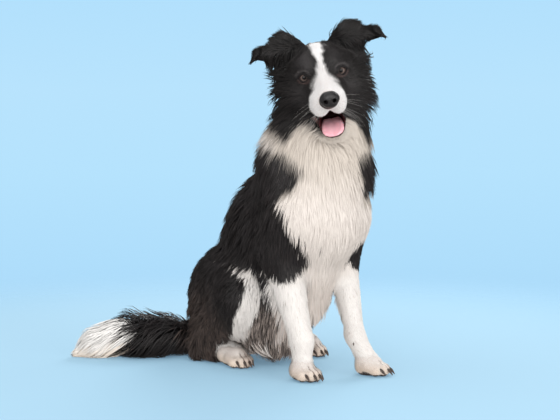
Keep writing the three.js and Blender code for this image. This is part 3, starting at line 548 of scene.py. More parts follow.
# ------------------------------------------------------------------ skin
def in_fine(V):
    q = to_head(V)
    head = (q * q).sum(1) < 175.0 ** 2
    paws = (V[:, 2] < 40) & ((V[:, 1] < 60) | ((np.abs(V[:, 0]) > 70) & (V[:, 1] < 270)))
    return head | paws


def build_skin():
    h = 2.6
    lo, hi = np.array([-345, -75, -8.0]), np.array([160, 530, 700.0])
    V, Q, cell = surface(lambda P: spread_free(skin_field, P), lo, hi, h)
    T = to_tris(V, Q)
    coarse = ~in_fine(V)
    key = np.where(coarse, 0, 1)
    c2 = np.where(coarse[:, None], cell // 2, cell)
    full = (((key * 2000 + c2[:, 0]) * 2000 + c2[:, 1]) * 2000 + c2[:, 2])
    uk, inv = np.unique(full, return_inverse=True)
    n = np.bincount(inv)
    V = np.stack([np.bincount(inv, V[:, k]) / n for k in range(3)], 1)
    T = inv[T]
    T = T[(T[:, 0] != T[:, 1]) & (T[:, 1] != T[:, 2]) & (T[:, 0] != T[:, 2])]
    _, first = np.unique(np.sort(T, 1), axis=0, return_index=True)
    T = T[np.sort(first)]
    V = settle(skin_field, V, 2)

    def target(p):
        q = to_head(p)
        m = mirrored(q)
        e = np.linalg.norm(m - np.array([EYE_X, EYE_Y - 6, EYE_Z]), axis=1)
        out = np.where((q * q).sum(1) < 135.0 ** 2, 4.6, 7.6)
        face = (q[:, 1] < 20) & (np.abs(q[:, 0]) < 62) & (q[:, 2] > -125) & (q[:, 2] < 30)
        out = np.where(face, 3.3, out)
        lips = np.abs(mouth_field(m)) < 7
        out = np.where(face & lips, 2.3, out)
        out = np.where(e < 21, 2.2, out)
        out = np.where(e < 15.5, 1.35, out)
        return out
    V = relax(V, T, .35)
    for _ in range(3):
        V, T = split_edges(V, T, target, 1)
        V = settle(skin_field, V, 1)
    V = relax(V, T, .3)
    V = settle(skin_field, V, 3)
    return V, T


def spread_free(fn, P):
    return fn(P)


# ------------------------------------------------------------------ the pattern of the coat
def hash3(i, j, k, seed):
    h = (i * 374761393 + j * 668265263 + k * 2147483647 + seed * 974711) & 0xFFFFFFFF
    h = ((h ^ (h >> 13)) * 1274126177) & 0xFFFFFFFF
    return ((h ^ (h >> 16)) & 0xFFFF) / 65535.0


def noise(P, size, seed=0):
    """Smooth value noise from -1 to 1."""
    q = np.asarray(P, float) / size
    i = np.floor(q).astype(np.int64); f = q - i
    f = f * f * (3 - 2 * f)
    out = 0
    for a in (0, 1):
        for b in (0, 1):
            for c in (0, 1):
                w = (f[:, 0] if a else 1 - f[:, 0]) * (f[:, 1] if b else 1 - f[:, 1]) * (f[:, 2] if c else 1 - f[:, 2])
                out = out + w * hash3(i[:, 0] + a, i[:, 1] + b, i[:, 2] + c, seed)
    return out * 2 - 1


def step(x, lo, hi):
    t = np.clip((x - lo) / (hi - lo), 0, 1)
    return t * t * (3 - 2 * t)


# half angles of the white shirt round an upright axis in the chest, by height, on the dog's right and left
SHIRT_AXIS = (-3.0, 115.0)
SHIRT_RIGHT = [(176, 60), (190, 44), (200, 35), (220, 29), (251, 30), (264, 37), (285, 45), (305, 47), (323, 50), (345, 56), (351, 54), (357, 46),
               (376, 41), (399, 35), (407, 34), (419, 37), (430, 44), (440, 60), (452, 68), (469, 52), (481, 42), (488, 33), (500, 27)]
SHIRT_LEFT = [(176, 60), (203, 44), (217, 40), (236, 27), (260, 22), (268, 32), (276, 62), (338, 62), (346, 24), (355, 19), (370, 26), (386, 21),
              (406, 16), (424, 20), (436, 60), (452, 44), (467, 31), (483, 20), (494, 2.5), (500, 0)]
# the stripe down the front of each thigh: its two edges by height, measured along BAND
BAND = np.array([.834, -.551, 0.0])
STRIPE_EDGES = [(30, -228, -196), (52, -220, -186), (102, -202, -166), (144, -187, -153), (170, -183, -152), (190, -190, -158), (205, -198, -174), (219, -210, -186), (226, -206, -197)]
LEG_BACK = [(0, 70), (60, 78), (100, 132), (172, 136), (200, 124), (262, 120)]
BLAZE = [(-24, 28), (-8, 19), (-2, 14), (4, 10.4), (14, 7.4), (26, 6.2), (34, 7.4), (40, 9.2), (47, 10.8), (56, 10), (64, 3)]


def pattern(P):
    """How far inside the white each point is, in mm, and shares of brown and of grey in the dark hair."""
    P = np.asarray(P, float)
    x, y, z = P.T
    q = to_head(P); hx, hy, hz = q.T
    dx, dy = x - SHIRT_AXIS[0], y - SHIRT_AXIS[1]
    rho = np.hypot(dx, dy)
    right = np.degrees(np.arctan2(-dx, -dy)); left = -right
    edge = np.where(right > 0, np.interp(z, *zip(*SHIRT_RIGHT)) - right, np.interp(z, *zip(*SHIRT_LEFT)) - left)
    white = np.radians(np.clip(edge, -90, 90)) * np.maximum(rho, 25)
    white = np.where(z > 496, np.minimum(white, 496 - z), white)
    # the collar round the neck
    collar = (16 - 2.5 * step(y, 110, 190)) - np.abs(z - (454 + .10 * (y - 80)))
    collar = np.where((y > 20) & (hz < -60) & ((x < 15) | (y > 125)), collar, -60)
    white = np.maximum(white, collar)
    # forelegs and what hangs between them
    hem = np.where(x < 0, 187 + np.where(x > -96, .020, .036) * (x + 96) ** 2, 200 + .020 * (x - 85) ** 2)
    back = np.interp(z, *zip(*LEG_BACK)) + 20 * step(x, -45, -25)
    leg = np.minimum(np.clip(hem - z, -60, 60), back - y)
    white = np.where(z < 262, np.maximum(np.minimum(white, np.where(np.abs(x) < 45, 140, back) - y), leg), white)
    under = np.minimum(np.minimum(46 - np.abs(x), 196 - z), z - 58)
    white = np.where((y > 100) & (y < 300), np.maximum(white, under), white)
    # hind feet, the stripe down the front of each thigh, tail tip
    white = np.maximum(white, np.where(np.abs(x) > 55, np.minimum(46 - z, 256 - y), -60))
    zz, la, ra = zip(*STRIPE_EDGES)
    for side in (1, -1):
        R = P.copy()
        if side == -1:
            R[:, 0] = -R[:, 0] - 6; R[:, 1] -= 34
        r = R @ BAND
        s = np.minimum(r - np.interp(z, zz, la), np.interp(z, zz, ra) - r) * .9
        s = np.minimum(s, np.minimum(202 - z, z - 26))
        m = (R[:, 0] < -62) & (R[:, 1] < 290) & (R[:, 1] > 118)
        white = np.where(m, np.maximum(white, s), white)
    white = np.where(x < -200, -246 - x, white)
    # face: blaze, muzzle, chin
    inhead = (q * q).sum(1) < 130 ** 2
    w = np.interp(hz, *zip(*BLAZE))
    mid = np.interp(hz, [-24, -8, 4, 14, 30, 47, 60], [1.5, 0, -.8, -.5, -.5, -3, -3.5])
    blaze = w - np.abs(hx - mid) - np.clip(hy - 46, 0, 60) * .8
    muzzle = np.minimum(-37 - hy + .12 * np.abs(hz + 40), 60)
    muzzle = np.minimum(muzzle, np.interp(hz, [-80, -70, -60, -44], [22, 28, 36, 60]) - np.abs(hx - 1.5))
    share = step(hz, -34, -18)
    face = blaze * share + muzzle * (1 - share)
    # the bib's top edge, seen along the gaze: black hair hangs from the cheeks on both sides of it
    v = .977 * hz + .21 * hy
    top = np.interp(hx, [-130, -122, -104, -94, -80, -66, -41, -30, -21, -19, 0, 22, 25, 32, 37, 43, 50, 56, 60, 70], [-70, -86, -105, -116, -103, -90, -96, -109, -115, -76, -76, -76, -92, -96, -99, -103, -112, -124, -152, -160])
    bib = (top - v) * .8
    bib = np.minimum(bib, v - np.interp(hx, [-130, -107, -92, -80, -72], [-128, -134, -147, -167, -400]))
    chin = np.where(hy < 70, bib, -20)
    face = np.where(hz < -60, np.maximum(np.minimum(face, 60), chin), face)
    low = (hz <= -72) & (hz > -160) & (hy < 62) & (np.abs(hx) < 125)
    white = np.where(inhead & (hz > -72), face, np.where(low, np.minimum(bib, 60), white))
    brown = step(y, 180, 270) * step(185 - z, 0, 120) * (x > -150)
    brown = np.where(y > 372, brown * .35, brown)
    grey = step(y, 112, 132) * step(300 - y, 0, 40) * step(150 - z, 0, 45) * step(104 - np.abs(x), 0, 16)
    grey = np.maximum(grey, .75 * step(60 - np.abs(x + 10), 0, 20) * step(150 - z, 0, 60) * step(y, 60, 110))
    grey = np.maximum(grey, .50 * step(50 - np.abs(x + 5), 0, 20) * step(225 - z, 0, 60) * (y < 130))
    return white, brown, grey


BLACK = np.array([.0090, .0082, .0090]); BROWN = np.array([.062, .046, .040]); GREY = np.array([.34, .285, .255])
WHITE = np.array([.715, .662, .622]); CREAM = np.array([.70, .60, .50])


def coat_colour(P, white, brown, grey, rnd, jitter):
    """White and black with the brown cast and grey of the hindquarters; rnd varies it from lock to lock."""
    n = noise(P, 17, 3) * 5 + noise(P, 7, 4) * 3
    w = step(white + n * .8 + jitter, -3.0, 3.0)[:, None]
    sheen = 1 + .35 * noise(P, 34, 21) + .25 * noise(P, 15, 22)     # locks catch the light differently
    # painted sheen: black hair lower than the head is a third lighter
    dark = BLACK * ((.45 + 1.35 * rnd) * sheen * (1 + .35 * (P[:, 2] < 480)))[:, None]
    mix = (rnd * 7.31) % 1.0                                        # from lock to lock, black, brown or grey
    b = np.clip(brown * (.30 + 1.5 * mix ** 1.3) + .10 * (rnd > .86), 0, 1)[:, None]
    dark = dark * (1 - b) + BROWN * (.55 + .9 * rnd)[:, None] * b
    z = P[:, 2]
    cream = (step(34 - z, 0, 26) * (np.abs(P[:, 0]) > 20))[:, None] * .8
    light = WHITE * (.96 + .08 * rnd)[:, None]
    legs = step(230 - z, 0, 60)[:, None] * (np.abs(P[:, 0]) > 30)[:, None]
    light = light * (1 + legs * np.array([.12, .17, .21]))
    light = light * (1 + step(-P[:, 0], 190, 230)[:, None] * np.array([.10, .12, .13]))      # the tail's tip is the purest white
    hq = to_head(P)
    warm = step(z, 330, 440) * step(110 - P[:, 1], 0, 40) * (1 - step(hq[:, 2] - .3 * hq[:, 1], -78, -58))   # the bib is creamier
    light = light * (1 - warm[:, None] * np.array([.15, .17, .21]))
    face = (step(hq[:, 2] - .3 * hq[:, 1], -78, -58) * ((hq * hq).sum(1) < 140 ** 2))[:, None]
    light = light * (1 + face * np.array([.06, .13, .21]))
    # painted shade: the face's black hair is darker, the cheeks' most, in place of shadows the head's coat does not
    # cast
    dark = dark * (1 - .40 * face) * (1 - .26 * step(np.abs(hq[:, 0]), 36, 60) * (z > 455))[:, None]
    # painted light: the hind feet's cream is lighter, against the shade the thighs cast on them
    light = light * (1 - cream) + CREAM * ((.9 + .2 * rnd) * (1 + .22 * (P[:, 1] > 110)))[:, None] * cream
    g = (grey * (.35 + .75 * rnd))[:, None].clip(0, 1)
    light = light * (1 - .75 * g) + GREY * (.7 + 1.1 * rnd)[:, None] * .75 * g
    dark = dark * (1 - .85 * g) + GREY * (.25 + 1.1 * rnd)[:, None] * .85 * g
    # painted sheen: lighter grey on the forehead (stronger on the dog's right), on the cheeks, inside the ears and in
    # an arc over each eye; below each eye, the brownish skin that shows below the eyes
    q = to_head(P)
    painted_sheen = np.exp(-((np.abs(q[:, 0]) - 27) / 13) ** 2 - ((q[:, 2] - 26) / 17) ** 2) * (q[:, 1] < 25) * np.where(q[:, 0] < 0, .55, .25)
    painted_sheen = np.maximum(painted_sheen, np.exp(-((np.abs(q[:, 0]) - 50) / 14) ** 2 - ((q[:, 2] + 30) / 20) ** 2) * (q[:, 1] < 30) * .25)[:, None]
    # painted sheen inside the ears
    inner = np.exp(-((np.abs(q[:, 0]) - 84) / 15) ** 2 - ((q[:, 2] - 46) / 12) ** 2) * (q[:, 1] < 52)
    painted_sheen = np.maximum(painted_sheen, (inner * .18 * (.4 + .6 * rnd))[:, None])
    dark = dark * (1 - painted_sheen) + np.array([.070, .065, .068]) * painted_sheen
    for s in (1, -1):
        u, v, o = eye_plane(q, s)
        # painted sheen: a lighter arc over each upper lid
        r = np.hypot(u / 16.0, v / 13.6)
        face = np.abs(o) < 22
        arc = (np.exp(-((r - 1) / .15) ** 2) * step(v, -3, 5) * face * .75)[:, None]
        dark = dark * (1 - arc) + np.array([.075, .068, .070]) * arc
        r = np.hypot(u / 11.5, (v + 1) / 9.5)
        arc = (np.exp(-((r - 1) / .2) ** 2) * step(-v, 1, 5) * face * .7)[:, None]
        dark = dark * (1 - arc) + np.array([.085, .052, .048]) * arc
    return dark * (1 - w) + light * w, w[:, 0]


# ------------------------------------------------------------------ the lie of the coat
def head_lie(q):
    x, y, z = q.T
    s = np.tanh(x / 8.0)
    ax = np.abs(x)
    top = np.stack([.15 * s, np.full_like(x, 1.0), .35 + 0 * x], 1)
    brow = np.stack([.25 * s, .55 + 0 * x, .8 + 0 * x], 1)
    side = np.stack([.45 * s, .8 + 0 * x, -.45 + 0 * x], 1)
    ruff = np.stack([.40 * s, .25 + 0 * x, -.95 + 0 * x], 1)
    lip = np.stack([.12 * s, .75 + 0 * x, -.65 + 0 * x], 1)
    chin = np.stack([.10 * s, .8 + 0 * x, -.6 + 0 * x], 1)
    back = np.stack([.1 * s, .6 + 0 * x, -.8 + 0 * x], 1)
    w_brow = step(z, 6, 22) * step(40 - y, 0, 30)
    w_side = step(ax, 22, 40) * step(8 - z, 0, 25) + .15
    w_ruff = step(ax, 36, 52) * step(-22 - z, 0, 30) * step(y, 0, 30) * 2.5
    w_lip = step(-34 - z, 0, 14) * step(8 - y, 0, 20) * 1.6
    w_chin = step(-78 - z, 0, 12) * 2.5
    w_back = step(y, 78, 110) * 2.0
    w_top = .5 + .6 * step(z, 20, 40)
    hang = np.stack([.20 * s, -.02 + 0 * x, -1.0 + 0 * x], 1)
    w_hang = step(-ear_skirt(q.astype(F)).astype(float), -8, 6) * step(52 - z, 0, 12) * step(y, 30, 44) * 4.0
    f = w_hang[:, None] * hang
    for w, v in ((w_top, top), (w_brow, brow), (w_side, side), (w_ruff, ruff), (w_lip, lip), (w_chin, chin), (w_back, back)):
        f = f + w[:, None] * v
    f = unit(f)
    ear = -ears_pair(mirrored(q).astype(F))[0].astype(float)                     # above 0 inside an ear
    w_ear = step(ear, -16, -3)[:, None]
    out = step(ax, 92, 112)
    along = unit(np.stack([s * (.9 - .1 * out), -.15 - .2 * out, .15 - .55 * out], 1))
    fringe = unit(np.stack([.30 * s, .05 + 0 * x, -.97 + 0 * x], 1))
    low = step(56 - z, 0, 14) * step(114 - ax, 0, 12)
    e = unit(along * (1 - low[:, None]) + fringe * low[:, None])
    return unit(f * (1 - w_ear) + e * w_ear)


def lie_of(P):
    """Which way the hair runs at each point: every limb's own lie, weighed by how near the limb is."""
    P = np.asarray(P, F)
    acc = np.zeros(P.shape, F); tot = np.full(len(P), 1e-9, F)
    for name, a, b, ra, rb, ca, cb, k, f, lie in BODY:
        d = limb(P, a, b, ra, rb, X, f)
        v = np.asarray(lie, F) / np.linalg.norm(lie)
        w = np.exp(-np.clip(d, -30, 80) / 11)
        acc += w[:, None] * v
        tot += w
    body = acc / tot[:, None]
    # long hair on the backs of the forelegs points back and down
    x, y, z = P.T
    axis = np.interp(z, [0, 74, 244], [0, 24, 86]).astype(F)
    behind = step(y - axis, 4, 20) * step(240 - z, 0, 60) * step(z, 55, 85) * step(150 - y, 0, 20) * step(np.abs(x), 30, 45)
    body = unit(body + behind[:, None] * np.array([0, .9, -.1], F))
    # the tail's hair spreads from its root line and sweeps to the tip
    tail = step(-x, 60, 110)
    fall = np.stack([-.25 * np.ones_like(x), .25 * np.sign(y - 415 + .0 * x), -.9 + 0 * x], 1)
    body = unit(body + (tail * step(70 - z, 0, 60) * .55)[:, None] * fall.astype(F))
    q = to_head(P.astype(float))
    near = (q * q).sum(1) < 230.0 ** 2
    if near.any():
        h0 = head_pair(q[near].astype(F))[0]
        b0 = body_pair(P[near])[0]
        w = step(b0 - h0, -22, 26)[:, None]
        hd = dir_from_head(head_lie(q[near]))
        body[near] = unit(body[near] * (1 - w) + hd * w)
    return body


# ------------------------------------------------------------------ locks
def roots_on(V, T, N, spacing, seed):
    """Points spread evenly over the skin, about spacing(p) apart, with their normals."""
    rng = np.random.default_rng(seed)
    C = V[T].mean(1)
    area = np.linalg.norm(np.cross(V[T[:, 1]] - V[T[:, 0]], V[T[:, 2]] - V[T[:, 0]]), axis=1) / 2
    s = spacing(C)
    weight = np.where(s > 0, area / np.maximum(s, .1) ** 2, 0)
    g = ((C - C.min(0)) / 3.0).astype(np.int64)
    code = np.zeros(len(C), np.int64)
    for b in range(9):
        for k in range(3):
            code |= ((g[:, k] >> b) & 1) << (3 * b + k)
    order = np.argsort(code, kind="stable")
    cum = np.cumsum(weight[order])
    n = int(cum[-1])
    at = (np.arange(n) + rng.random(n)) * (cum[-1] / n)
    tri = order[np.clip(np.searchsorted(cum, at), 0, len(order) - 1)]
    r1, r2 = np.sqrt(rng.random(n)), rng.random(n)
    w = np.stack([1 - r1, r1 * (1 - r2), r1 * r2], 1)
    P = (V[T[tri]] * w[:, :, None]).sum(1)
    Nn = unit((N[T[tri]] * w[:, :, None]).sum(1))
    return P, Nn


def vertex_normals(V, T):
    fn = np.cross(V[T[:, 1]] - V[T[:, 0]], V[T[:, 2]] - V[T[:, 0]])
    N = np.zeros_like(V)
    for k in range(3):
        for c in range(3):
            N[:, c] += np.bincount(T[:, k], fn[:, c], len(V))
    return unit(N)


def lip_band(q):
    """Above 0 on the bare lip at the right-hand corner of the mouth, seen along the gaze, and less on the left one."""
    v = .977 * q[:, 2] + .21 * q[:, 1]
    x = q[:, 0]
    t = np.clip((x + 44) / 22, 0, 1)
    mid = -68 - 24 * t ** 1.15
    b = 5.6 + 2.2 * t - np.abs(v - mid) - np.clip(-44 - x, 0, 9) * 3 - np.clip(x + 21, 0, 30) * 2
    t2 = np.clip((36 - x) / 12, 0, 1)
    c = 3.4 - np.abs(v - (-80 - 15 * t2)) - np.clip(x - 36, 0, 9) * 3 - np.clip(23 - x, 0, 30) * 2
    return np.where(q[:, 1] < 22, np.maximum(b, c), -9)


def bald(P):
    """Above 0 where no hair grows: mouth, tongue, lids' rims, nose leather."""
    q = to_head(P)
    out = np.full(len(P), -9.0)
    near = (q * q).sum(1) < 150.0 ** 2
    k = q[near]; m = mirrored(k)
    b = 2.4 - mouth_field(m)
    b = np.maximum(b, 3.4 - tongue_room(k))
    b = np.maximum(b, lip_band(k) - .4)
    b = np.maximum(b, 1.3 - ball(k, NOSE_AT, NOSE_SIZE))
    for s in (1, -1):
        u, v, w = eye_plane(k, s)
        b = np.maximum(b, np.where(w > -2, 2.5 + .8 * (np.abs(u) > 6) - almond(u, v), -9))
    out[near] = b
    return out


def toe_gaps(V):
    """1 in the grooves between the toes."""
    gap = np.zeros(len(V))
    low = V[:, 2] < 34
    if low.any():
        Q = V[low]; g = np.zeros(len(Q))
        for name, tips in toe_tips.items():
            f = tips[0][1]
            pts = np.array([t[0] for t in tips], float)
            near = np.linalg.norm(Q - pts.mean(0), axis=1) < 48
            if not near.any():
                continue
            side = np.array([-f[1], f[0], 0])
            a = (Q[near] - pts[0]) @ side; step_ = (pts[3] - pts[0]) @ side / 3
            t = a / step_
            mid = np.abs(t % 1.0 - .5)
            inside = (t > .1) & (t < 2.9)
            ahead = (Q[near] - pts.mean(0)) @ f
            g[near] = np.maximum(g[near], step(mid, .33, .46) * inside * step(ahead, -24, -8) * step(34 - Q[near][:, 2], 0, 8))
        gap[low] = g
    return gap


def coat_spacing(C, D, N):
    """Spacing of the roots, in mm, by the coat's depth: closest on the face and feet."""
    s = np.interp(D, [0, 3, 5, 8, 14, 24, 38], [1.36, 1.42, 1.62, 2.15, 2.6, 2.95, 3.1])
    q = to_head(C)
    face = ((q * q).sum(1) < 120 ** 2) & (D < 9) & (q[:, 1] < 30)
    s = np.where(face, s * .86, s)
    x, y, z = C.T
    s = np.where((x > 35) & (y > 130), s * 1.26, np.where((y > 130) & (z > 150), s * 1.10, s))   # thinner where one colour covers it
    s = np.where((x < -55) & (y > 360), s * .86, s)
    s = np.where((N[:, 2] < -.5) & (C[:, 2] < 70), s * 1.45, s)       # under what hangs near the floor
    s = np.where((N[:, 2] < -.6) & (C[:, 2] < 9), 0, s)
    s = np.where(bald(C) > 0, 0, s)
    return s * SPREAD


def grow(P, N, D, seed, pale):
    """The line of each lock from its root: K+1 points, the coat's normal at each, and its length."""
    rng = np.random.default_rng(seed)
    n = len(P)
    q = to_head(P); ax = np.abs(q[:, 0])
    ear = -ears_pair(mirrored(q).astype(F))[0].astype(float)
    on_ear = step(ear, -4, -1)
    crest = on_ear * step(q[:, 2], 50, 62) * step(ax, 22, 30) * step(84 - ax, 0, 18)
    length = np.interp(D, [0, 2, 4, 8, 14, 22, 30, 40], [3.4, 5.0, 8.5, 16, 27, 43, 60, 78])
    length = length * (.80 + .4 * rng.random(n))
    hang = step(56 - q[:, 2], 0, 14) * step(114 - ax, 0, 12)
    length = np.where(on_ear > .5, np.minimum(length, 7 + 10 * step(96 - ax, 0, 40)) + hang * (28 + 36 * rng.random(n)), length)
    spike = np.where(q[:, 0] < 0, 5 * np.exp(-((q[:, 0] + 43) / 8) ** 2), 14 * np.exp(-((q[:, 0] - 15) / 8.5) ** 2))
    spike = spike * step(q[:, 2], 56, 66) * step(q[:, 1], 22, 40) * step(84 - q[:, 1], 0, 16) * (.35 + .8 * rng.random(n))
    length += crest * (2 + 9 * rng.random(n)) + spike * 1.3
    paws = (P[:, 2] < 40) & (D < 5)
    length = np.where(paws, np.minimum(length, 4.2), length)
    fly = rng.random(n) < .045
    under = rng.random(n) < .18
    lift = np.where(pale, .92 + .08 * rng.random(n), .78 + .22 * rng.random(n) ** .8)
    lift = np.where(under, np.where(pale, .80, .45) + .15 * rng.random(n), lift)
    lift = np.where(fly, 1.0 + .12 * rng.random(n), lift)
    # tufts that stand off: below the ears and round the cheeks, on top of the tail, behind the thighs and forelegs
    tuft = .5 + .5 * noise(P, 13, 77)
    flare = step(ax, 38, 58) * step(q[:, 2], -128, -100) * step(60 - q[:, 2], 0, 16) * step(q[:, 1], 5, 25) * (D > 9) * (1 - on_ear * (1 - hang))
    wild = flare * np.where(q[:, 0] < 0, 14, 17) + step(-P[:, 0], 90, 120) * (P[:, 1] > 345) * (P[:, 2] > 25) * 13
    wild += ((P[:, 1] > 150) & (P[:, 1] <= 345) & (P[:, 2] < 150) & (D > 9)) * 5
    wild += (P[:, 0] < -60) * (P[:, 1] > 230) * step(80 - P[:, 2], 0, 30) * (P[:, 1] < 380) * 10
    wild += (P[:, 1] > 170) * (P[:, 1] < 400) * (P[:, 2] > 60) * (D > 9) * 5 + (P[:, 1] > 100) * (P[:, 2] > 250) * (P[:, 2] < 480) * 4
    wild += (np.abs(P[:, 0]) < 55) * (P[:, 2] < 240) * (P[:, 2] > 110) * (P[:, 1] < 170) * (D > 9) * 9
    plume = step(N[:, 1], .1, .5) * step(P[:, 2], 70, 100) * step(240 - P[:, 2], 0, 25) * (P[:, 1] < 140) * (np.abs(P[:, 0]) > 38) * (np.abs(P[:, 0]) < 130)
    plume *= rng.random(n) < .55                                       # feathers behind the forelegs
    wild += plume * 15
    length = length + plume * 16
    ruff = step(q[:, 0], 36, 56) * step(q[:, 2], -128, -104) * step(-14 - q[:, 2], 0, 34) * step(q[:, 1], 0, 18)
    ruff = np.maximum(ruff, step(-q[:, 0], 38, 56) * step(q[:, 2], -96, -72) * step(-8 - q[:, 2], 0, 30) * step(q[:, 1], 0, 18) * .45)
    side = step(P[:, 0], 48, 66) * step(P[:, 2], 398, 414) * step(474 - P[:, 2], 0, 20) * step(P[:, 1], -18, 2) * (P[:, 1] < 120)
    ruff = np.maximum(ruff, side)                                      # where the ruff stands out
    wild += ruff * 12
    wild *= step(tuft, .42, .72) * (.45 + .75 * rng.random(n))
    wild += flare * np.where(q[:, 0] < 0, 1, 4) * (1 - ruff) + ruff * 13
    lift = lift + np.clip(wild / np.maximum(D, 12), 0, .7)
    length = length * (1 + .010 * wild)
    lift = lift * (1 - .25 * step(-q[:, 0], 96, 116) * step(q[:, 2], -200, -170) * step(-84 - q[:, 2], 0, 20))      # close to the neck
    shins = (D < 9.5) & (P[:, 2] < 235) & pale & (plume < .1)
    lift = np.where(shins, .62 + .25 * rng.random(n), lift)
    lift = np.where(paws, .3 + .4 * rng.random(n), lift)
    allow = np.where(fly, np.minimum(D * .16, 4.5), -.25) + crest * 3.0 + wild + spike
    crest = np.clip(crest + spike / 9, 0, 1.6)
    K = 4
    lines = np.zeros((n, K + 1, 3)); norms = np.zeros((n, K + 1, 3))
    lines[:, 0] = P - N * .8; norms[:, 0] = N
    p = P.copy(); nn = N.copy()
    wob = rng.normal(0, 1, (n, 3)) * np.minimum(length, 60)[:, None] * .040
    hop = (length / K)
    for k in range(1, K + 1):
        f = lie_of(p.astype(F)).astype(float)
        f = f + nn * (wild * .018 * (k > 1))[:, None]
        f = unit(f - nn * (f * nn).sum(1, keepdims=True) * .92)
        t = k / K
        p = p + f * hop[:, None] + wob * (1.0 / K) * math.sin(2.2 * t + .6)
        pf = p.astype(F)
        d0, d1 = spread(pair, pf)
        g = gradient(lambda A: pair(A)[1], pf, d1).astype(float)
        size = np.clip(np.linalg.norm(g, axis=1), .5, 1.4)
        nn = unit(g)
        depth = np.maximum((d0 - d1).astype(float), .5)
        want = .45 + lift * (t ** .5) * depth
        fix = np.clip(want - d0, -hop * 1.3, hop * .95)
        fix = np.minimum(fix, (allow - d1) / size)
        p = p + nn * (fix * np.clip(1 - .6 * crest, 0, 1))[:, None]
        p += np.array([0, 0, 1.0]) * (crest * hop * .45)[:, None]
        p[:, 2] = np.maximum(p[:, 2], .7 + 1.6 * rng.random(n) * t)
        lines[:, k] = p; norms[:, k] = nn
    return lines, norms, length, crest


def clump(lines, norms, length, N, seed, step_mm=15.0, pull=.5):
    """Draws the tips of neighbouring locks together, so that the coat parts into strands."""
    rng = np.random.default_rng(seed)
    n = len(lines)
    root = lines[:, 0]
    long = length > 12
    if long.sum() < 50:
        return lines
    share = np.interp(length, [12, 20, 35, 80], [.14, .11, .085, .07])
    guides = np.flatnonzero(long & (rng.random(n) < share))
    tree = KDTree(len(guides))
    for i, g in enumerate(guides):
        tree.insert(root[g] + N[g] * 2, i)
    tree.balance()
    near = np.full(n, -1)
    key = root + N * 2
    for i in np.flatnonzero(long):
        co, j, dist = tree.find(key[i])
        if dist < step_mm:
            near[i] = guides[j]
    m = near >= 0
    g = near[m]
    K = lines.shape[1] - 1
    out = lines.copy()
    amount = (np.broadcast_to(pull, (n,))[m] * (.5 + .8 * rng.random(m.sum())))[:, None]
    same = np.clip((norms[m, K] * norms[g, K]).sum(1), 0, 1)[:, None]
    ratio = np.clip(length[m] / length[g], .3, 1.0)
    for k in range(1, K + 1):
        t = k / K
        at = np.clip(t * ratio, 0, 1) * K
        i0 = np.clip(at.astype(int), 0, K - 1); fr = (at - i0)[:, None]
        target = lines[g, i0] * (1 - fr) + lines[g, i0 + 1] * fr
        out[m, k] += (target - lines[m, k]) * amount * same * (t ** 1.5)
    out[:, 1:, 2] = np.maximum(out[:, 1:, 2], .6)
    return out


def resample(A, K):
    """The same lines with K+1 points."""
    k0 = A.shape[1] - 1
    at = np.linspace(0, k0, K + 1)
    i = np.clip(at.astype(int), 0, k0 - 1); f = (at - i)[None, :, None]
    return A[:, i] * (1 - f) + A[:, i + 1] * f


def lock_solids(lines, norms, width, flat, soft):
    """Each line becomes a closed three-sided lock that narrows to its tip, with normals drawn towards the coat's own."""
    n, k1, _ = lines.shape; K = k1 - 1
    tan = np.zeros_like(lines)
    tan[:, 1:-1] = lines[:, 2:] - lines[:, :-2]
    tan[:, 0] = lines[:, 1] - lines[:, 0]; tan[:, -1] = lines[:, -1] - lines[:, -2]
    tan = unit(tan)
    side = np.cross(tan, norms)
    side = unit(side + 1e-6)
    up = np.cross(side, tan)
    prof = {1: (1.0,), 2: (.8, 1.0), 3: (.75, 1.0, .74), 4: (.7, 1.0, .90, .58)}[K]
    V = np.zeros((n, 3 * K + 1, 3)); S = np.zeros((n, 3 * K + 1, 3)); M = np.zeros_like(V)
    flat = np.broadcast_to(np.asarray(flat, float), (n,))[:, None]
    for k in range(K):
        w = (width * prof[k] / 2)[:, None]
        V[:, 3 * k] = lines[:, k] - side[:, k] * w - up[:, k] * w * flat * .6
        V[:, 3 * k + 1] = lines[:, k] + side[:, k] * w - up[:, k] * w * flat * .6
        V[:, 3 * k + 2] = lines[:, k] + up[:, k] * w * flat * 1.2
        M[:, 3 * k] = unit(-side[:, k] - up[:, k] * .25); M[:, 3 * k + 1] = unit(side[:, k] - up[:, k] * .25); M[:, 3 * k + 2] = up[:, k]
        S[:, 3 * k, 0], S[:, 3 * k + 1, 0], S[:, 3 * k + 2, 0] = 0, 1, .5
        S[:, 3 * k:3 * k + 3, 1] = k / K
    V[:, 3 * K] = lines[:, K]; S[:, 3 * K, 0] = .5; S[:, 3 * K, 1] = 1
    M[:, 3 * K] = up[:, K]
    kk = np.repeat(np.arange(K), 3).tolist() + [K]
    M = unit(M * (1 - soft) + norms[:, kk] * soft)
    T = [(0, 1, 2)]
    for k in range(K - 1):
        a = 3 * k
        for i in range(3):
            j = (i + 1) % 3
            T += [(a + i, a + 3 + i, a + 3 + j), (a + i, a + 3 + j, a + j)]
    a = 3 * (K - 1)
    T += [(a + i, 3 * K, a + (i + 1) % 3) for i in range(3)]
    T = np.array(T)
    allT = (T[None] + (np.arange(n) * (3 * K + 1))[:, None, None]).reshape(-1, 3)
    return V, S, M, allT


REGIONS = ["head_right", "head_left", "neck", "chest", "back_right", "back_left", "forelegs", "thigh_right", "thigh_left", "tail"]


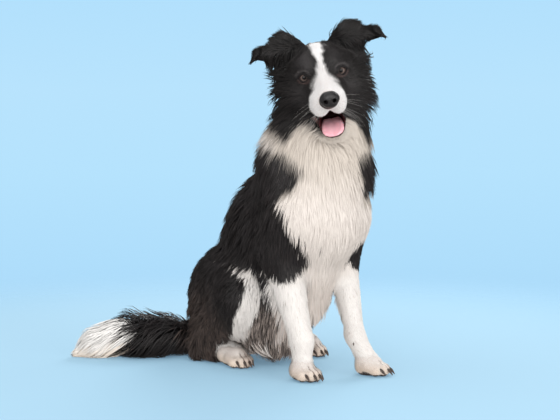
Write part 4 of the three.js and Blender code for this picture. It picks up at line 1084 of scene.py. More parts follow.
def region_of(P):
    x, y, z = P.T
    q = to_head(P)
    r = np.where(x < 0, 4, 5)
    r = np.where((z > 395), 2, r)
    r = np.where((z <= 395) & (y < 62 + (395 - z) * .18) & (z > 175), 3, r)
    r = np.where((z <= 240) & (y < 150), np.where((np.abs(x) < 40) & (z > 150), 3, 6), r)
    hind = (y > 130) & (z < 235 - np.clip(230 - y, 0, 100) * .2) & (np.abs(x) > 30 - np.clip(120 - z, 0, 60) * .5)
    r = np.where(hind & (x < 0) & (z <= 240), 7, r); r = np.where(hind & (x >= 0) & (z <= 240), 8, r)
    r = np.where((x < -55) & (y > 365 + .12 * x) & (z < 95) & (x < -60), 9, r)
    r = np.where(x < -170, 9, r)
    h = ((q[:, 2] > -58) & ((q * q).sum(1) < 165 ** 2)) | ((q[:, 2] > -118) & (q[:, 1] < 12))
    r = np.where(h, np.where(q[:, 0] < 0, 0, 1), r)
    return r


# an unwrap of the skin for each region: round a line through it, and along that line
UNWRAP = {0: None, 1: None, 2: ((0, 92, 395), (0, 100, 520)), 3: ((0, 95, 170), (0, 95, 400)), 4: ((0, 330, 90), (0, 110, 400)), 5: ((0, 330, 90), (0, 110, 400)),
          6: None, 7: ((-60, 300, 0), (-75, 250, 240)), 8: ((60, 300, 0), (72, 260, 240)), 9: ((-60, 400, 45), (-300, 480, 30))}


def unwrap(P, r):
    """Places in the unit square: the skin laid out round the region's own line."""
    P = np.asarray(P, float)
    if r in (0, 1):
        q = to_head(P)
        c = np.array([0, 30, -20.0]); d = q - c
        R = np.linalg.norm(d, axis=1)
        th = np.arctan2(np.abs(d[:, 0]), -d[:, 1]); ph = np.arcsin(np.clip(d[:, 2] / np.maximum(R, 1e-6), -1, 1))
        u, v = th / math.pi, ph / math.pi + .5
        ear = ears_pair(mirrored(q).astype(F))[0] < 4
        far = ear & (np.abs(q[:, 0]) > 52)                         # the ears lie in a corner of their own
        front = q[:, 1] < 48 - .05 * (np.abs(q[:, 0]) - 60)
        u = np.where(far, .02 + (np.abs(q[:, 0]) - 52) / 90 * .4 + np.where(front, 0, .46), u)
        v = np.where(far, .80 + (q[:, 2] - 20) / 80 * .18, np.clip(v, 0, 1) * .78)
    elif r == 6:
        right = P[:, 0] < 0
        cx = np.where(right, np.interp(P[:, 2], [0, 74, 244], [-64, -68, -80]), np.interp(P[:, 2], [0, 74, 244], [80, 60, 68]))
        cy = np.where(right, np.interp(P[:, 2], [0, 74, 244], [8, 28, 86]), np.interp(P[:, 2], [0, 74, 244], [0, 20, 84]))
        th = np.arctan2(P[:, 0] - cx, -(P[:, 1] - cy))
        u = (th / (2 * math.pi) + .5) * .48 + np.where(right, 0, .51)
        v = np.clip(P[:, 2] / 245, 0, 1)
    else:
        a, b = (np.array(k, float) for k in UNWRAP[r])
        ax = (b - a) / np.linalg.norm(b - a)
        ref = unit(np.cross(ax, [1, 0, 0]) if abs(ax[0]) < .9 else np.cross(ax, [0, 0, 1])); oth = np.cross(ax, ref)
        d = P - a; t = d @ ax
        th = np.arctan2(d @ oth, d @ ref)
        if r in (4, 5):
            th = np.abs(th) if False else th
        u = th / (2 * math.pi) + .5
        v = t
    u = (u - u.min()) / max(np.ptp(u), 1e-6); v = (v - v.min()) / max(np.ptp(v), 1e-6)
    return np.stack([.004 + .988 * u, .004 + .988 * v], 1)


TRIS = {1: 4, 2: 10, 3: 16, 4: 22}


def coat_pieces(V, T, N):
    C = V[T].mean(1)
    d1 = spread(pair, V.astype(F))[1]
    depth_v = np.maximum(-d1.astype(float), 0)
    depth_t = depth_v[T].mean(1); n_t = unit(N[T].mean(1))
    spacing_t = coat_spacing(C, depth_t, n_t)
    P, Nn = roots_on(V, T, N, lambda c: spacing_t, 11)
    D = np.clip(-spread(pair, P.astype(F))[1].astype(float), .6, 40)
    gap = toe_gaps(P)
    keep = (bald(P) <= 0) & (gap < .55)
    P, Nn, D, gap = P[keep], Nn[keep], D[keep], gap[keep]
    pale = pattern(P + Nn * (D * .6)[:, None])[0] > 0
    lines, norms, length, crest = grow(P, Nn, D, 21, pale)
    lines = clump(lines, norms, length, Nn, 31, pull=np.where(pale, .16, .50))
    # no lock lies over the tongue or in the mouth
    Q = to_head(lines[:, 2:].reshape(-1, 3)); near = (Q * Q).sum(1) < 150.0 ** 2
    hit = np.zeros(len(Q), bool)
    mq = mirrored(Q[near]); hit[near] = (mouth_field(mq) < .5) | (tongue_room(Q[near]) < .3) | (lip_band(Q[near]) > 1.5)
    keep = ~hit.reshape(len(lines), -1).any(1)
    P, Nn, D, gap, lines, norms, length, crest = (a[keep] for a in (P, Nn, D, gap, lines, norms, length, crest))
    rng = np.random.default_rng(41)
    n = len(P)
    rnd, jit = rng.random(n), rng.normal(0, 1.6, n) + np.where((rng.random(n) < .03) & (D > 9), rng.normal(0, 8, n), 0)
    seen = lines[:, 0] * .15 + lines[:, 2] * .40 + lines[:, 3] * .45   # the pattern is where the hair is seen
    white, brown, grey = pattern(seen)
    colour, w = coat_colour(seen, white, brown, grey, rnd, np.where(D < 6, jit * .35, jit * np.clip(length / 22, .5, 2)))
    red = (gap * .8)[:, None]
    colour = colour * (1 - red) + np.array([.16, .07, .045]) * red
    width = np.interp(length, [3, 5, 8, 14, 25, 45, 70, 96], [.95, 1.1, 1.35, 1.65, 2.1, 2.6, 3.0, 3.3]) * (.8 + .4 * rng.random(n))
    width *= 1 + .12 * w * step(length, 14, 30)
    width *= np.interp(length, [5, 12, 40], [1.0, .94, .90])
    K = np.where(length < 7.5, 1, np.where(length < 13, 2, np.where(length < 42, 3, 4)))
    region = region_of(P)
    out = []
    for r, name in enumerate(REGIONS):
        idx = np.flatnonzero(region == r)
        if len(idx) == 0:
            continue
        uv0 = unwrap(P[idx], r)
        order = np.argsort(P[idx, 2], kind="stable")               # an over-full region is parted by height
        cost = np.array([TRIS[k] for k in K[idx][order]]).cumsum()
        parts = int(np.ceil(cost[-1] / 188000))
        part = np.minimum((cost * parts // (cost[-1] + 1)), parts - 1)
        for j in range(parts):
            sel = order[part == j]
            ii = idx[sel]; uvs = uv0[sel]
            VV, TT, CC, SS, UU, MM, base = [], [], [], [], [], [], 0
            for k in (1, 2, 3, 4):
                m = K[ii] == k
                if not m.any():
                    continue
                a = ii[m]
                L, Nm = resample(lines[a], k), unit(resample(norms[a], k))
                v, s, mn, t = lock_solids(L, Nm, width[a], np.where(w[a] > .5, .40, .55), (SOFT + .18 * w[a])[:, None, None])
                nv = 3 * k + 1
                wa = w[a][:, None]
                # painted shade: each lock darker at its root and lighter at its tip, much more in the dark hair than in
                # the white
                painted_root_shade = np.interp(s[:, :, 1], [0, .35, 1], [.60, 1.0, 1.10]) * (1 - wa) + np.interp(s[:, :, 1], [0, .3, 1], [.90, 1.0, 1.02]) * wa
                c = colour[a][:, None, :] * painted_root_shade[:, :, None]
                high = np.repeat(P[a, 2] > 375, nv).reshape(len(a), nv)
                if high.any():                                     # round the face the edge of the pattern is sharp
                    vv = v[high]
                    pw = step(pattern(vv)[0] + noise(vv, 7, 4) * 3, -2.5, 2.5)
                    full = np.zeros(high.shape); full[high] = pw
                    turn = (full - wa) * high * .75
                    up_, dn_ = np.clip(turn, 0, 1)[..., None], np.clip(-turn, 0, 1)[..., None]
                    hv = to_head(v.reshape(-1, 3)); cool = step(hv[:, 2] - .3 * hv[:, 1], -78, -58).reshape(len(a), nv)[..., None]
                    c = c * (1 - up_) + WHITE * (np.array([.86, .84, .80]) * (1 - cool) + np.array([1.05, 1.11, 1.18]) * cool) * up_
                    c = c * (1 - dn_) + BLACK * .8 * dn_
                tipw = (s[:, :, 1] ** 2)[..., None] * .10 * (1 - w[a])[:, None, None]
                c = c * (1 - tipw) + BROWN * tipw
                s[:, :, 2] = rnd[a][:, None] * 40
                uv = uvs[m][:, None, :] + (s[:, :, :2] - [.5, .5]) * .003
                VV.append(v.reshape(-1, 3)); TT.append(t + base); CC.append(c.reshape(-1, 3)); SS.append(s.reshape(-1, 3))
                UU.append(uv.reshape(-1, 2)); MM.append(mn.reshape(-1, 3))
                base += len(a) * nv
            v, t = np.concatenate(VV), np.concatenate(TT)
            ob = mesh_object("coat_" + name + ("_%d" % (j + 1) if parts > 1 else ""), v, t)
            c = np.concatenate(CC)
            attribute(ob, "tint", np.concatenate([c, np.ones((len(c), 1))], 1).clip(0, 1))
            attribute(ob, "strand", np.concatenate(SS))
            uv = np.clip(np.concatenate(UU), .0005, .9995)
            layer = ob.data.uv_layers.new(name="OFBake")
            layer.data.foreach_set("uv", uv[t.ravel()].astype(F).ravel())
            ob.data.normals_split_custom_set_from_vertices(np.concatenate(MM).astype(F))
            out.append((ob, len(t), len(ii)))
    return out, (P, lines, length, D)


# ------------------------------------------------------------------ materials
def material(name):
    m = bpy.data.materials.new(name); m.use_nodes = True
    nt = m.node_tree; nt.nodes.clear()
    out = nt.nodes.new("ShaderNodeOutputMaterial"); b = nt.nodes.new("ShaderNodeBsdfPrincipled")
    nt.links.new(b.outputs[0], out.inputs[0])
    return m, nt, b


def node(nt, kind, **values):
    n = nt.nodes.new(kind)
    for k, v in values.items():
        if k.startswith("in_"):
            n.inputs[k[3:].replace("_", " ")].default_value = v
        else:
            setattr(n, k, v)
    return n


def fur_material(name, rough, spec):
    m, nt, b = material(name)
    L = nt.links.new
    tint = node(nt, "ShaderNodeAttribute", attribute_name="tint")
    strand = node(nt, "ShaderNodeAttribute", attribute_name="strand")
    scale = node(nt, "ShaderNodeVectorMath", operation="MULTIPLY"); scale.inputs[1].default_value = (7.0, 1.3, 1.0)
    L(strand.outputs["Vector"], scale.inputs[0])
    n = node(nt, "ShaderNodeTexNoise", in_Scale=1.0, in_Detail=2.0, in_Roughness=.6)
    L(scale.outputs[0], n.inputs["Vector"])
    ramp = node(nt, "ShaderNodeMapRange"); ramp.inputs["From Min"].default_value = .3; ramp.inputs["From Max"].default_value = .7
    ramp.inputs["To Min"].default_value = .86; ramp.inputs["To Max"].default_value = 1.10
    L(n.outputs[0], ramp.inputs["Value"])
    mul = node(nt, "ShaderNodeVectorMath", operation="SCALE")
    L(tint.outputs["Color"], mul.inputs[0]); L(ramp.outputs[0], mul.inputs["Scale"])
    L(mul.outputs[0], b.inputs["Base Color"])
    bump = node(nt, "ShaderNodeBump"); bump.inputs["Strength"].default_value = .35; bump.inputs["Distance"].default_value = .0004
    L(n.outputs[0], bump.inputs["Height"]); L(bump.outputs[0], b.inputs["Normal"])
    b.inputs["Roughness"].default_value = rough
    b.inputs["Specular IOR Level"].default_value = spec
    return m


def skin_material():
    m, nt, b = material("skin")
    L = nt.links.new
    tint = node(nt, "ShaderNodeAttribute", attribute_name="tint")
    co = node(nt, "ShaderNodeTexCoord")
    fine = node(nt, "ShaderNodeTexNoise", in_Scale=650.0, in_Detail=3.0, in_Roughness=.65)
    broad = node(nt, "ShaderNodeTexNoise", in_Scale=90.0, in_Detail=2.0)
    for n in (fine, broad):
        L(co.outputs["Object"], n.inputs["Vector"])
    r1 = node(nt, "ShaderNodeMapRange"); r1.inputs["From Min"].default_value = .3; r1.inputs["From Max"].default_value = .7
    r1.inputs["To Min"].default_value = .8; r1.inputs["To Max"].default_value = 1.15
    L(fine.outputs[0], r1.inputs["Value"])
    mul = node(nt, "ShaderNodeVectorMath", operation="SCALE")
    L(tint.outputs["Color"], mul.inputs[0]); L(r1.outputs[0], mul.inputs["Scale"])
    L(mul.outputs[0], b.inputs["Base Color"])
    wet = node(nt, "ShaderNodeAttribute", attribute_name="wet")
    r2 = node(nt, "ShaderNodeMapRange"); r2.inputs["To Min"].default_value = .75; r2.inputs["To Max"].default_value = .34
    b.inputs["Specular IOR Level"].default_value = .3
    L(wet.outputs["Fac"], r2.inputs["Value"]); L(r2.outputs[0], b.inputs["Roughness"])
    bump = node(nt, "ShaderNodeBump"); bump.inputs["Strength"].default_value = .5; bump.inputs["Distance"].default_value = .0006
    mix = node(nt, "ShaderNodeMath", operation="ADD"); L(fine.outputs[0], mix.inputs[0]); L(broad.outputs[0], mix.inputs[1])
    L(mix.outputs[0], bump.inputs["Height"]); L(bump.outputs[0], b.inputs["Normal"])
    return m


def set_material(ob, m):
    ob.data.materials.clear(); ob.data.materials.append(m)


# ------------------------------------------------------------------ the skin
def skin_colours(V):
    d1 = spread(pair, V.astype(F))[1].astype(float)
    N = SN
    q = to_head(V); m = mirrored(q)
    P = V + N * np.maximum(-d1, 0)[:, None] * .5
    white, brown, grey = pattern(P)
    rnd = .5 + .5 * noise(V, 4.0, 9)
    colour, w = coat_colour(P, white, brown, grey, rnd, np.zeros(len(V)))
    colour = colour * np.array([.86, .80, .77]) ** w[:, None]
    wet = np.zeros(len(V))
    near = (q * q).sum(1) < 150.0 ** 2
    mouth = np.where(near, mouth_field(m), 99)
    dark = np.array([.022, .017, .018]); maroon = np.array([.085, .018, .020])

    def lay(c, share):
        colour[:] = colour * (1 - share[:, None]) + np.asarray(c) * share[:, None]
    # lips, and the inside of the mouth
    rim = step(5.2 - mouth, 0, 2.2) * (q[:, 2] < -50)
    lay(dark, rim)
    inside = step(1.2 - mouth, 0, 1.2) * near
    lay(maroon, inside * .9)
    band = step(np.where(near, lip_band(q), -9), -1.4, .6) * (1 - inside)
    spots = np.clip(.5 + .9 * noise(V, 3.4, 12) + .5 * noise(V, 1.6, 13), 0, 1)
    lay((.030, .019, .018), band)
    lay((.21, .085, .075), band * spots * .75 * (q[:, 0] < 0) * step(lip_band(q), .5, 3.0))
    room = step(1.4 - np.where(near, tongue_room(q), 9), 0, 1.2)
    lip = step(4.0 - np.where(near, tongue_room(q), 9), 0, .8) * (1 - room)
    lay((.020, .012, .012), lip)
    lay(maroon, room * .95)
    wet = np.maximum(wet, lip * .5)
    wet = np.maximum(wet, np.maximum(band * .6, room))
    # painted shade: the inside of the mouth darker further back
    painted_mouth_shade = np.maximum(inside, room) * step(q[:, 1], -48, -6)
    lay((.060, .014, .017), painted_mouth_shade)
    wet = np.maximum(wet, np.maximum(inside, rim * .7))
    # lids' rims
    for i, s in enumerate((1, -1)):
        u, v, w_ = eye_plane(q, s)
        a = almond(u, v)
        e = step(3.4 - a, 0, 1.6) * (w_ > -4) * (np.linalg.norm(q - EYES[i], axis=1) < 22)
        lay((.010, .008, .009), e)
        wet = np.maximum(wet, e * .35)
        inner = e * step(-u * 1.0, 4.5, 8.5) * .7
        lay((.050, .028, .026), inner)
    # what shows round the nose leather
    a = np.linalg.norm((q - NOSE_AT) / (NOSE_SIZE + 2.0), axis=1)
    lay(dark, step(1.06 - a, 0, .1))
    # pads and the lines between the toes
    sole = (N[:, 2] < -.6) & (V[:, 2] < 10)
    lay((.030, .024, .024), sole * 1.0)
    gap = toe_gaps(V)
    lay((.075, .034, .024), gap * .9)
    return colour, wet.clip(0, 1)


FLESH = ["tail", "neck", "leg_front_right", "leg_front_left", "leg_hind_right", "leg_hind_left", "trunk", "paw_front_right", "paw_front_left",
         "paw_hind_right", "paw_hind_left", "ear_left", "ear_right", "jaw", "head"]
SPREAD, SOFT = 1.0, .55
SV, ST = build_skin()
SN = vertex_normals(SV, ST)
skin = mesh_object("skin", SV, ST)
skin_tint, skin_wet = skin_colours(SV)
attribute(skin, "tint", np.concatenate([skin_tint, np.ones((len(SV), 1))], 1))
attribute(skin, "wet", skin_wet)
set_material(skin, skin_material())
pieces, roots = coat_pieces(SV, ST, SN)
fur = fur_material("fur", .44, .34)
for ob, _, _ in pieces:
    set_material(ob, fur)


# ------------------------------------------------------------------ eyes
def eye_material():
    m, nt, b = material("eye")
    L = nt.links.new
    tint = node(nt, "ShaderNodeAttribute", attribute_name="tint")
    L(tint.outputs["Color"], b.inputs["Base Color"])
    co = node(nt, "ShaderNodeTexCoord"); n = node(nt, "ShaderNodeTexNoise", in_Scale=900.0, in_Detail=2.0)
    L(co.outputs["Object"], n.inputs["Vector"])
    r = node(nt, "ShaderNodeMapRange"); r.inputs["To Min"].default_value = .50; r.inputs["To Max"].default_value = .60
    L(n.outputs[0], r.inputs["Value"]); L(r.outputs[0], b.inputs["Roughness"])
    b.inputs["Coat Weight"].default_value = 1.0
    b.inputs["Coat Roughness"].default_value = .03
    b.inputs["Coat IOR"].default_value = 1.38
    b.inputs["Specular IOR Level"].default_value = .1
    return m


def eyeball(i, s, mat):
    rings, seg = 72, 96
    a = GAZE[s]; u = unit(np.cross(a, [0, 0, 1.0])); v = np.cross(u, a)
    th = np.concatenate([np.linspace(0, math.radians(60), 49)[1:], np.linspace(math.radians(60), math.pi, rings - 48 + 1)[1:-1]])
    ph = np.arange(seg) * 2 * math.pi / seg
    deg = np.degrees(th)
    R = EYE_R + .85 * step(43 - deg, 0, 34)
    pts = [a * (EYE_R + .85)]
    for t, r in zip(th, R):
        pts += list((a * math.cos(t))[None] * r + (np.cos(ph)[:, None] * u + np.sin(ph)[:, None] * v) * math.sin(t) * r)
    pts.append(-a * EYE_R)
    P = np.array(pts)
    n = len(th); T = []
    j = np.arange(seg); k = (j + 1) % seg
    T.append(np.stack([np.zeros(seg, int), 1 + k, 1 + j], 1))
    for r in range(n - 1):
        p0, p1 = 1 + r * seg, 1 + (r + 1) * seg
        T += [np.stack([p0 + j, p0 + k, p1 + k], 1), np.stack([p0 + j, p1 + k, p1 + j], 1)]
    last = 1 + n * seg; p0 = 1 + (n - 1) * seg
    T.append(np.stack([np.full(seg, last), p0 + j, p0 + k], 1))
    T = np.concatenate(T)
    vol = (P[T[:, 0]] * np.cross(P[T[:, 1]], P[T[:, 2]])).sum()
    if vol < 0:
        T = T[:, ::-1]
    ob = mesh_object("eyeball_" + ("left" if s == 1 else "right"), from_head(P + EYES[i]), T)
    d = unit(P); ang = np.degrees(np.arccos(np.clip(d @ a, -1, 1))); az = np.arctan2(d @ v, d @ u)
    c = np.tile(np.array([.045, .030, .026]), (len(P), 1))
    ring = .5 + .5 * np.sin(az * 23 + 2.3 * np.sin(az * 5 + s)) * np.sin(az * 37 + 1.1)
    iris = np.array([.085, .062, .054]) * (.60 + .80 * ring[:, None] * step(ang, 15, 30)[:, None]) + np.array([.060, .048, .044]) * step(ang, 18, 30)[:, None] * .5
    w = step(43.5 - ang, 0, 3)[:, None]; c = c * (1 - w) + np.array([.018, .012, .012]) * w
    w = step(39.5 - ang, 0, 3.5)[:, None]; c = c * (1 - w) + iris * w
    w = step(19.0 - ang, 0, 2)[:, None]; c = c * (1 - w) + np.array([.002, .002, .0025]) * w
    attribute(ob, "tint", np.concatenate([c, np.ones((len(P), 1))], 1))
    set_material(ob, mat)
    return ob


eye_mat = eye_material()
eye_left, eye_right = eyeball(0, 1, eye_mat), eyeball(1, -1, eye_mat)


# ------------------------------------------------------------------ nose
def nose_field(q):
    q = q - np.array([2.8, 0, 0], q.dtype)
    p = mirrored(q)
    d = q - NOSE_AT.astype(q.dtype)
    low = np.clip(-d[:, 2] / 15, 0, 1)
    a = d / ((NOSE_SIZE - [.8, 0, .3]).astype(q.dtype) * np.stack([1 - .22 * low, 1 + 0 * low, 1 + 0 * low], 1))
    e = F(2.5)
    n = (np.abs(a) ** e).sum(1) ** (1 / e)
    f = (n - 1) * F(14.0)
    f = smin(f, limb(p, (6.0, -93, -28.5), (10.5, -91, -29.5), 10.4, 8.0), 3)
    f = smax(f, -limb(p, (7.6, -109, -31.6), (9.0, -93, -31.0), 4.3, 3.0), 1.4)
    f = smax(f, -limb(p, (9.5, -106, -34.0), (17.5, -97, -36.5), 1.5, 1.0), 1.2)
    f = smax(f, -limb(p, (0, -108, -33), (0, -103, -50), .6, .9), 1.4)
    return f


NV, NQ, _ = surface(nose_field, np.array([-24, -110, -52.0]), np.array([24, -70, -10.0]), .8)
NT = to_tris(NV, NQ)
NV = relax(NV, NT, .3); NV = settle(nose_field, NV, 2)
nose = mesh_object("nose_leather", from_head(NV), NT)


def nose_material():
    m, nt, b = material("nose_leather")
    L = nt.links.new
    co = node(nt, "ShaderNodeTexCoord")
    cells = node(nt, "ShaderNodeTexVoronoi", in_Scale=620.0, feature="DISTANCE_TO_EDGE")
    n = node(nt, "ShaderNodeTexNoise", in_Scale=160.0, in_Detail=3.0)
    L(co.outputs["Object"], cells.inputs["Vector"]); L(co.outputs["Object"], n.inputs["Vector"])
    ramp = node(nt, "ShaderNodeMapRange"); ramp.inputs["From Max"].default_value = .28
    L(cells.outputs["Distance"], ramp.inputs["Value"])
    bump = node(nt, "ShaderNodeBump"); bump.inputs["Strength"].default_value = .40; bump.inputs["Distance"].default_value = .0004
    L(ramp.outputs[0], bump.inputs["Height"]); L(bump.outputs[0], b.inputs["Normal"])
    mix = node(nt, "ShaderNodeMix", data_type="RGBA")
    mix.inputs["A"].default_value = (.006, .0055, .0065, 1); mix.inputs["B"].default_value = (.015, .0135, .0155, 1)
    L(n.outputs[0], mix.inputs["Factor"]); L(mix.outputs["Result"], b.inputs["Base Color"])
    r = node(nt, "ShaderNodeMapRange"); r.inputs["To Min"].default_value = .24; r.inputs["To Max"].default_value = .38
    L(n.outputs[0], r.inputs["Value"]); L(r.outputs[0], b.inputs["Roughness"])
    b.inputs["Specular IOR Level"].default_value = .6
    return m


set_material(nose, nose_material())


# ------------------------------------------------------------------ tongue
def tongue_mesh():
    seg = 56
    y = np.array([t[0] for t in TONGUE], float)
    order = np.argsort(y)
    yy = np.concatenate([np.linspace(4, -60, 34), np.linspace(-61.5, -68.6, 12)])
    get = lambda k: np.interp(yy, y[order], np.array([t[k] for t in TONGUE])[order])
    zz, ww, hh = get(1), get(2), get(3)
    up = np.array([0, -.35, .937])
    ph = np.arange(seg) * 2 * math.pi / seg
    pts = [np.array([1.0, 9, -92.5])]
    for a, b, w, h in zip(yy, zz, ww, hh):
        cx, cz = np.cos(ph), np.sin(ph)
        x = np.sign(cx) * np.abs(cx) ** .8 * w
        t = np.sign(cz) * np.abs(cz) ** .9 * h
        r = np.abs(x) / w
        topside = cz > 0
        t = np.where(topside, t - 2.3 * np.exp(-(x / 2.1) ** 2) + 1.6 * np.exp(-((r - .8) / .18) ** 2) * (np.abs(cz) > .1), t * .9)
        t = t + .16 * np.sin(a * .8 + x * .45) * topside * np.abs(cz)
        pts += list(np.stack([x + np.interp(a, *LEAN), np.full(seg, a), np.full(seg, b)], 1) + t[:, None] * up)
    pts.append(np.array([-1.5, -69.8, -105.2]))
    P = np.array(pts); n = len(yy); T = []
    j = np.arange(seg); k = (j + 1) % seg
    T.append(np.stack([np.zeros(seg, int), 1 + j, 1 + k], 1))
    for r in range(n - 1):
        p0, p1 = 1 + r * seg, 1 + (r + 1) * seg
        T += [np.stack([p0 + j, p1 + k, p0 + k], 1), np.stack([p0 + j, p1 + j, p1 + k], 1)]
    last = 1 + n * seg; p0 = 1 + (n - 1) * seg
    T.append(np.stack([np.full(seg, last), p0 + k, p0 + j], 1))
    T = np.concatenate(T)
    c = P.mean(0); Q = P - c
    if (Q[T[:, 0]] * np.cross(Q[T[:, 1]], Q[T[:, 2]])).sum() < 0:
        T = T[:, ::-1]
    return P, T


TP, TT_ = tongue_mesh()
TP = relax(TP, TT_, .5)
tongue = mesh_object("tongue_flesh", from_head(TP), TT_)


def tongue_material():
    m, nt, b = material("tongue_flesh")
    L = nt.links.new
    co = node(nt, "ShaderNodeTexCoord")
    n = node(nt, "ShaderNodeTexNoise", in_Scale=70.0, in_Detail=3.0)
    p = node(nt, "ShaderNodeTexVoronoi", in_Scale=800.0)
    L(co.outputs["Object"], n.inputs["Vector"]); L(co.outputs["Object"], p.inputs["Vector"])
    mix = node(nt, "ShaderNodeMix", data_type="RGBA")
    mix.inputs["A"].default_value = (.80, .37, .44, 1); mix.inputs["B"].default_value = (.92, .52, .58, 1)
    L(n.outputs[0], mix.inputs["Factor"]); L(mix.outputs["Result"], b.inputs["Base Color"])
    bump = node(nt, "ShaderNodeBump"); bump.inputs["Strength"].default_value = .35; bump.inputs["Distance"].default_value = .0004
    L(p.outputs["Distance"], bump.inputs["Height"]); L(bump.outputs[0], b.inputs["Normal"])
    r = node(nt, "ShaderNodeMapRange"); r.inputs["To Min"].default_value = .30; r.inputs["To Max"].default_value = .48
    L(n.outputs[0], r.inputs["Value"]); L(r.outputs[0], b.inputs["Roughness"])
    b.inputs["Subsurface Weight"].default_value = .15
    b.inputs["Subsurface Radius"].default_value = (.004, .0012, .0010)
    return m


set_material(tongue, tongue_material())


# ------------------------------------------------------------------ claws and whiskers
def horn(r0, f, length, drop, radius, sharp=1.8, n=14, seg=16):
    """A curved claw: rings along a falling line, taller than wide, to a blunt point."""
    f = np.array([f[0], f[1], 0.0]); f /= np.linalg.norm(f); side = np.cross(f, [0, 0, 1.0])
    us = np.linspace(0, .97, n)
    pos = lambda u: np.asarray(r0, float) + f * length * u + np.array([0, 0, -1.0]) * drop * max(u, 0) ** sharp
    pts = [pos(0) - f * 1.0]
    ph = np.arange(seg) * 2 * math.pi / seg
    for u in us:
        t = unit(pos(u + .01) - pos(u - .01)); up = np.cross(side, t)
        r = radius * (1 - u ** 2.2 * .80)
        flat = 1 - .25 * (np.sin(ph) < -.4)
        pts += list(pos(u) + side * (np.cos(ph) * r)[:, None] + up * (np.sin(ph) * r * 1.2 * flat)[:, None])
    pts.append(pos(1.0))
    P = np.array(pts); T = []
    j = np.arange(seg); k = (j + 1) % seg
    T.append(np.stack([np.zeros(seg, int), 1 + j, 1 + k], 1))
    for i in range(n - 1):
        p0, p1 = 1 + i * seg, 1 + (i + 1) * seg
        T += [np.stack([p0 + j, p1 + k, p0 + k], 1), np.stack([p0 + j, p1 + j, p1 + k], 1)]
    p0 = 1 + (n - 1) * seg
    T.append(np.stack([np.full(seg, len(P) - 1), p0 + k, p0 + j], 1))
    T = np.concatenate(T)
    c = P.mean(0); Q = P - c
    if (Q[T[:, 0]] * np.cross(Q[T[:, 1]], Q[T[:, 2]])).sum() < 0:
        T = T[:, ::-1]
    along = np.concatenate([[0], np.repeat(us, seg), [1]])
    P[:, 2] = np.maximum(P[:, 2], .25)
    return P, T, along


def claw_material():
    m, nt, b = material("claw")
    L = nt.links.new
    along = node(nt, "ShaderNodeAttribute", attribute_name="along")
    co = node(nt, "ShaderNodeTexCoord")
    n = node(nt, "ShaderNodeTexNoise", in_Scale=420.0, in_Detail=3.0)
    L(co.outputs["Object"], n.inputs["Vector"])
    ramp = node(nt, "ShaderNodeValToRGB")
    ramp.color_ramp.elements[0].color = (.030, .021, .018, 1); ramp.color_ramp.elements[1].color = (.085, .060, .048, 1)
    add = node(nt, "ShaderNodeMath", operation="MULTIPLY_ADD"); add.inputs[1].default_value = .6
    L(n.outputs[0], add.inputs[0]); L(along.outputs["Fac"], add.inputs[2])
    half = node(nt, "ShaderNodeMath", operation="MULTIPLY"); half.inputs[1].default_value = .62
    L(add.outputs[0], half.inputs[0]); L(half.outputs[0], ramp.inputs["Fac"]); L(ramp.outputs["Color"], b.inputs["Base Color"])
    bump = node(nt, "ShaderNodeBump"); bump.inputs["Strength"].default_value = .3; bump.inputs["Distance"].default_value = .0003
    L(n.outputs[0], bump.inputs["Height"]); L(bump.outputs[0], b.inputs["Normal"])
    r = node(nt, "ShaderNodeMapRange"); r.inputs["To Min"].default_value = .30; r.inputs["To Max"].default_value = .50
    L(n.outputs[0], r.inputs["Value"]); L(r.outputs[0], b.inputs["Roughness"])
    return m


claw_parts = []
CLAW_NODES = []
for paw, tips in toe_tips.items():
    for i, (tip, f) in enumerate(tips):
        f = np.array([f[0], f[1], 0.0]); f /= np.linalg.norm(f)
        claw_parts.append(horn(np.asarray(tip, float) + f * 8 + [0, 0, 1.5], f, 13, 10.6, 3.0))
        CLAW_NODES.append("claw_%s_%d" % (paw, i + 1))
for s, at in ((1, (-51, 22, 64)), (-1, (43, 14, 64))):
    claw_parts.append(horn(at, (s * .5, -.866), 7, 5.5, 1.9))
CLAW_NODES += ["claw_dew_right", "claw_dew_left"]
base, cv, ct, ca_ = 0, [], [], []
for P_, T_, A_ in claw_parts:
    cv.append(P_); ct.append(T_ + base); ca_.append(A_); base += len(P_)
claws = mesh_object("claws", np.concatenate(cv), np.concatenate(ct))
attribute(claws, "along", np.concatenate(ca_))
set_material(claws, claw_material())


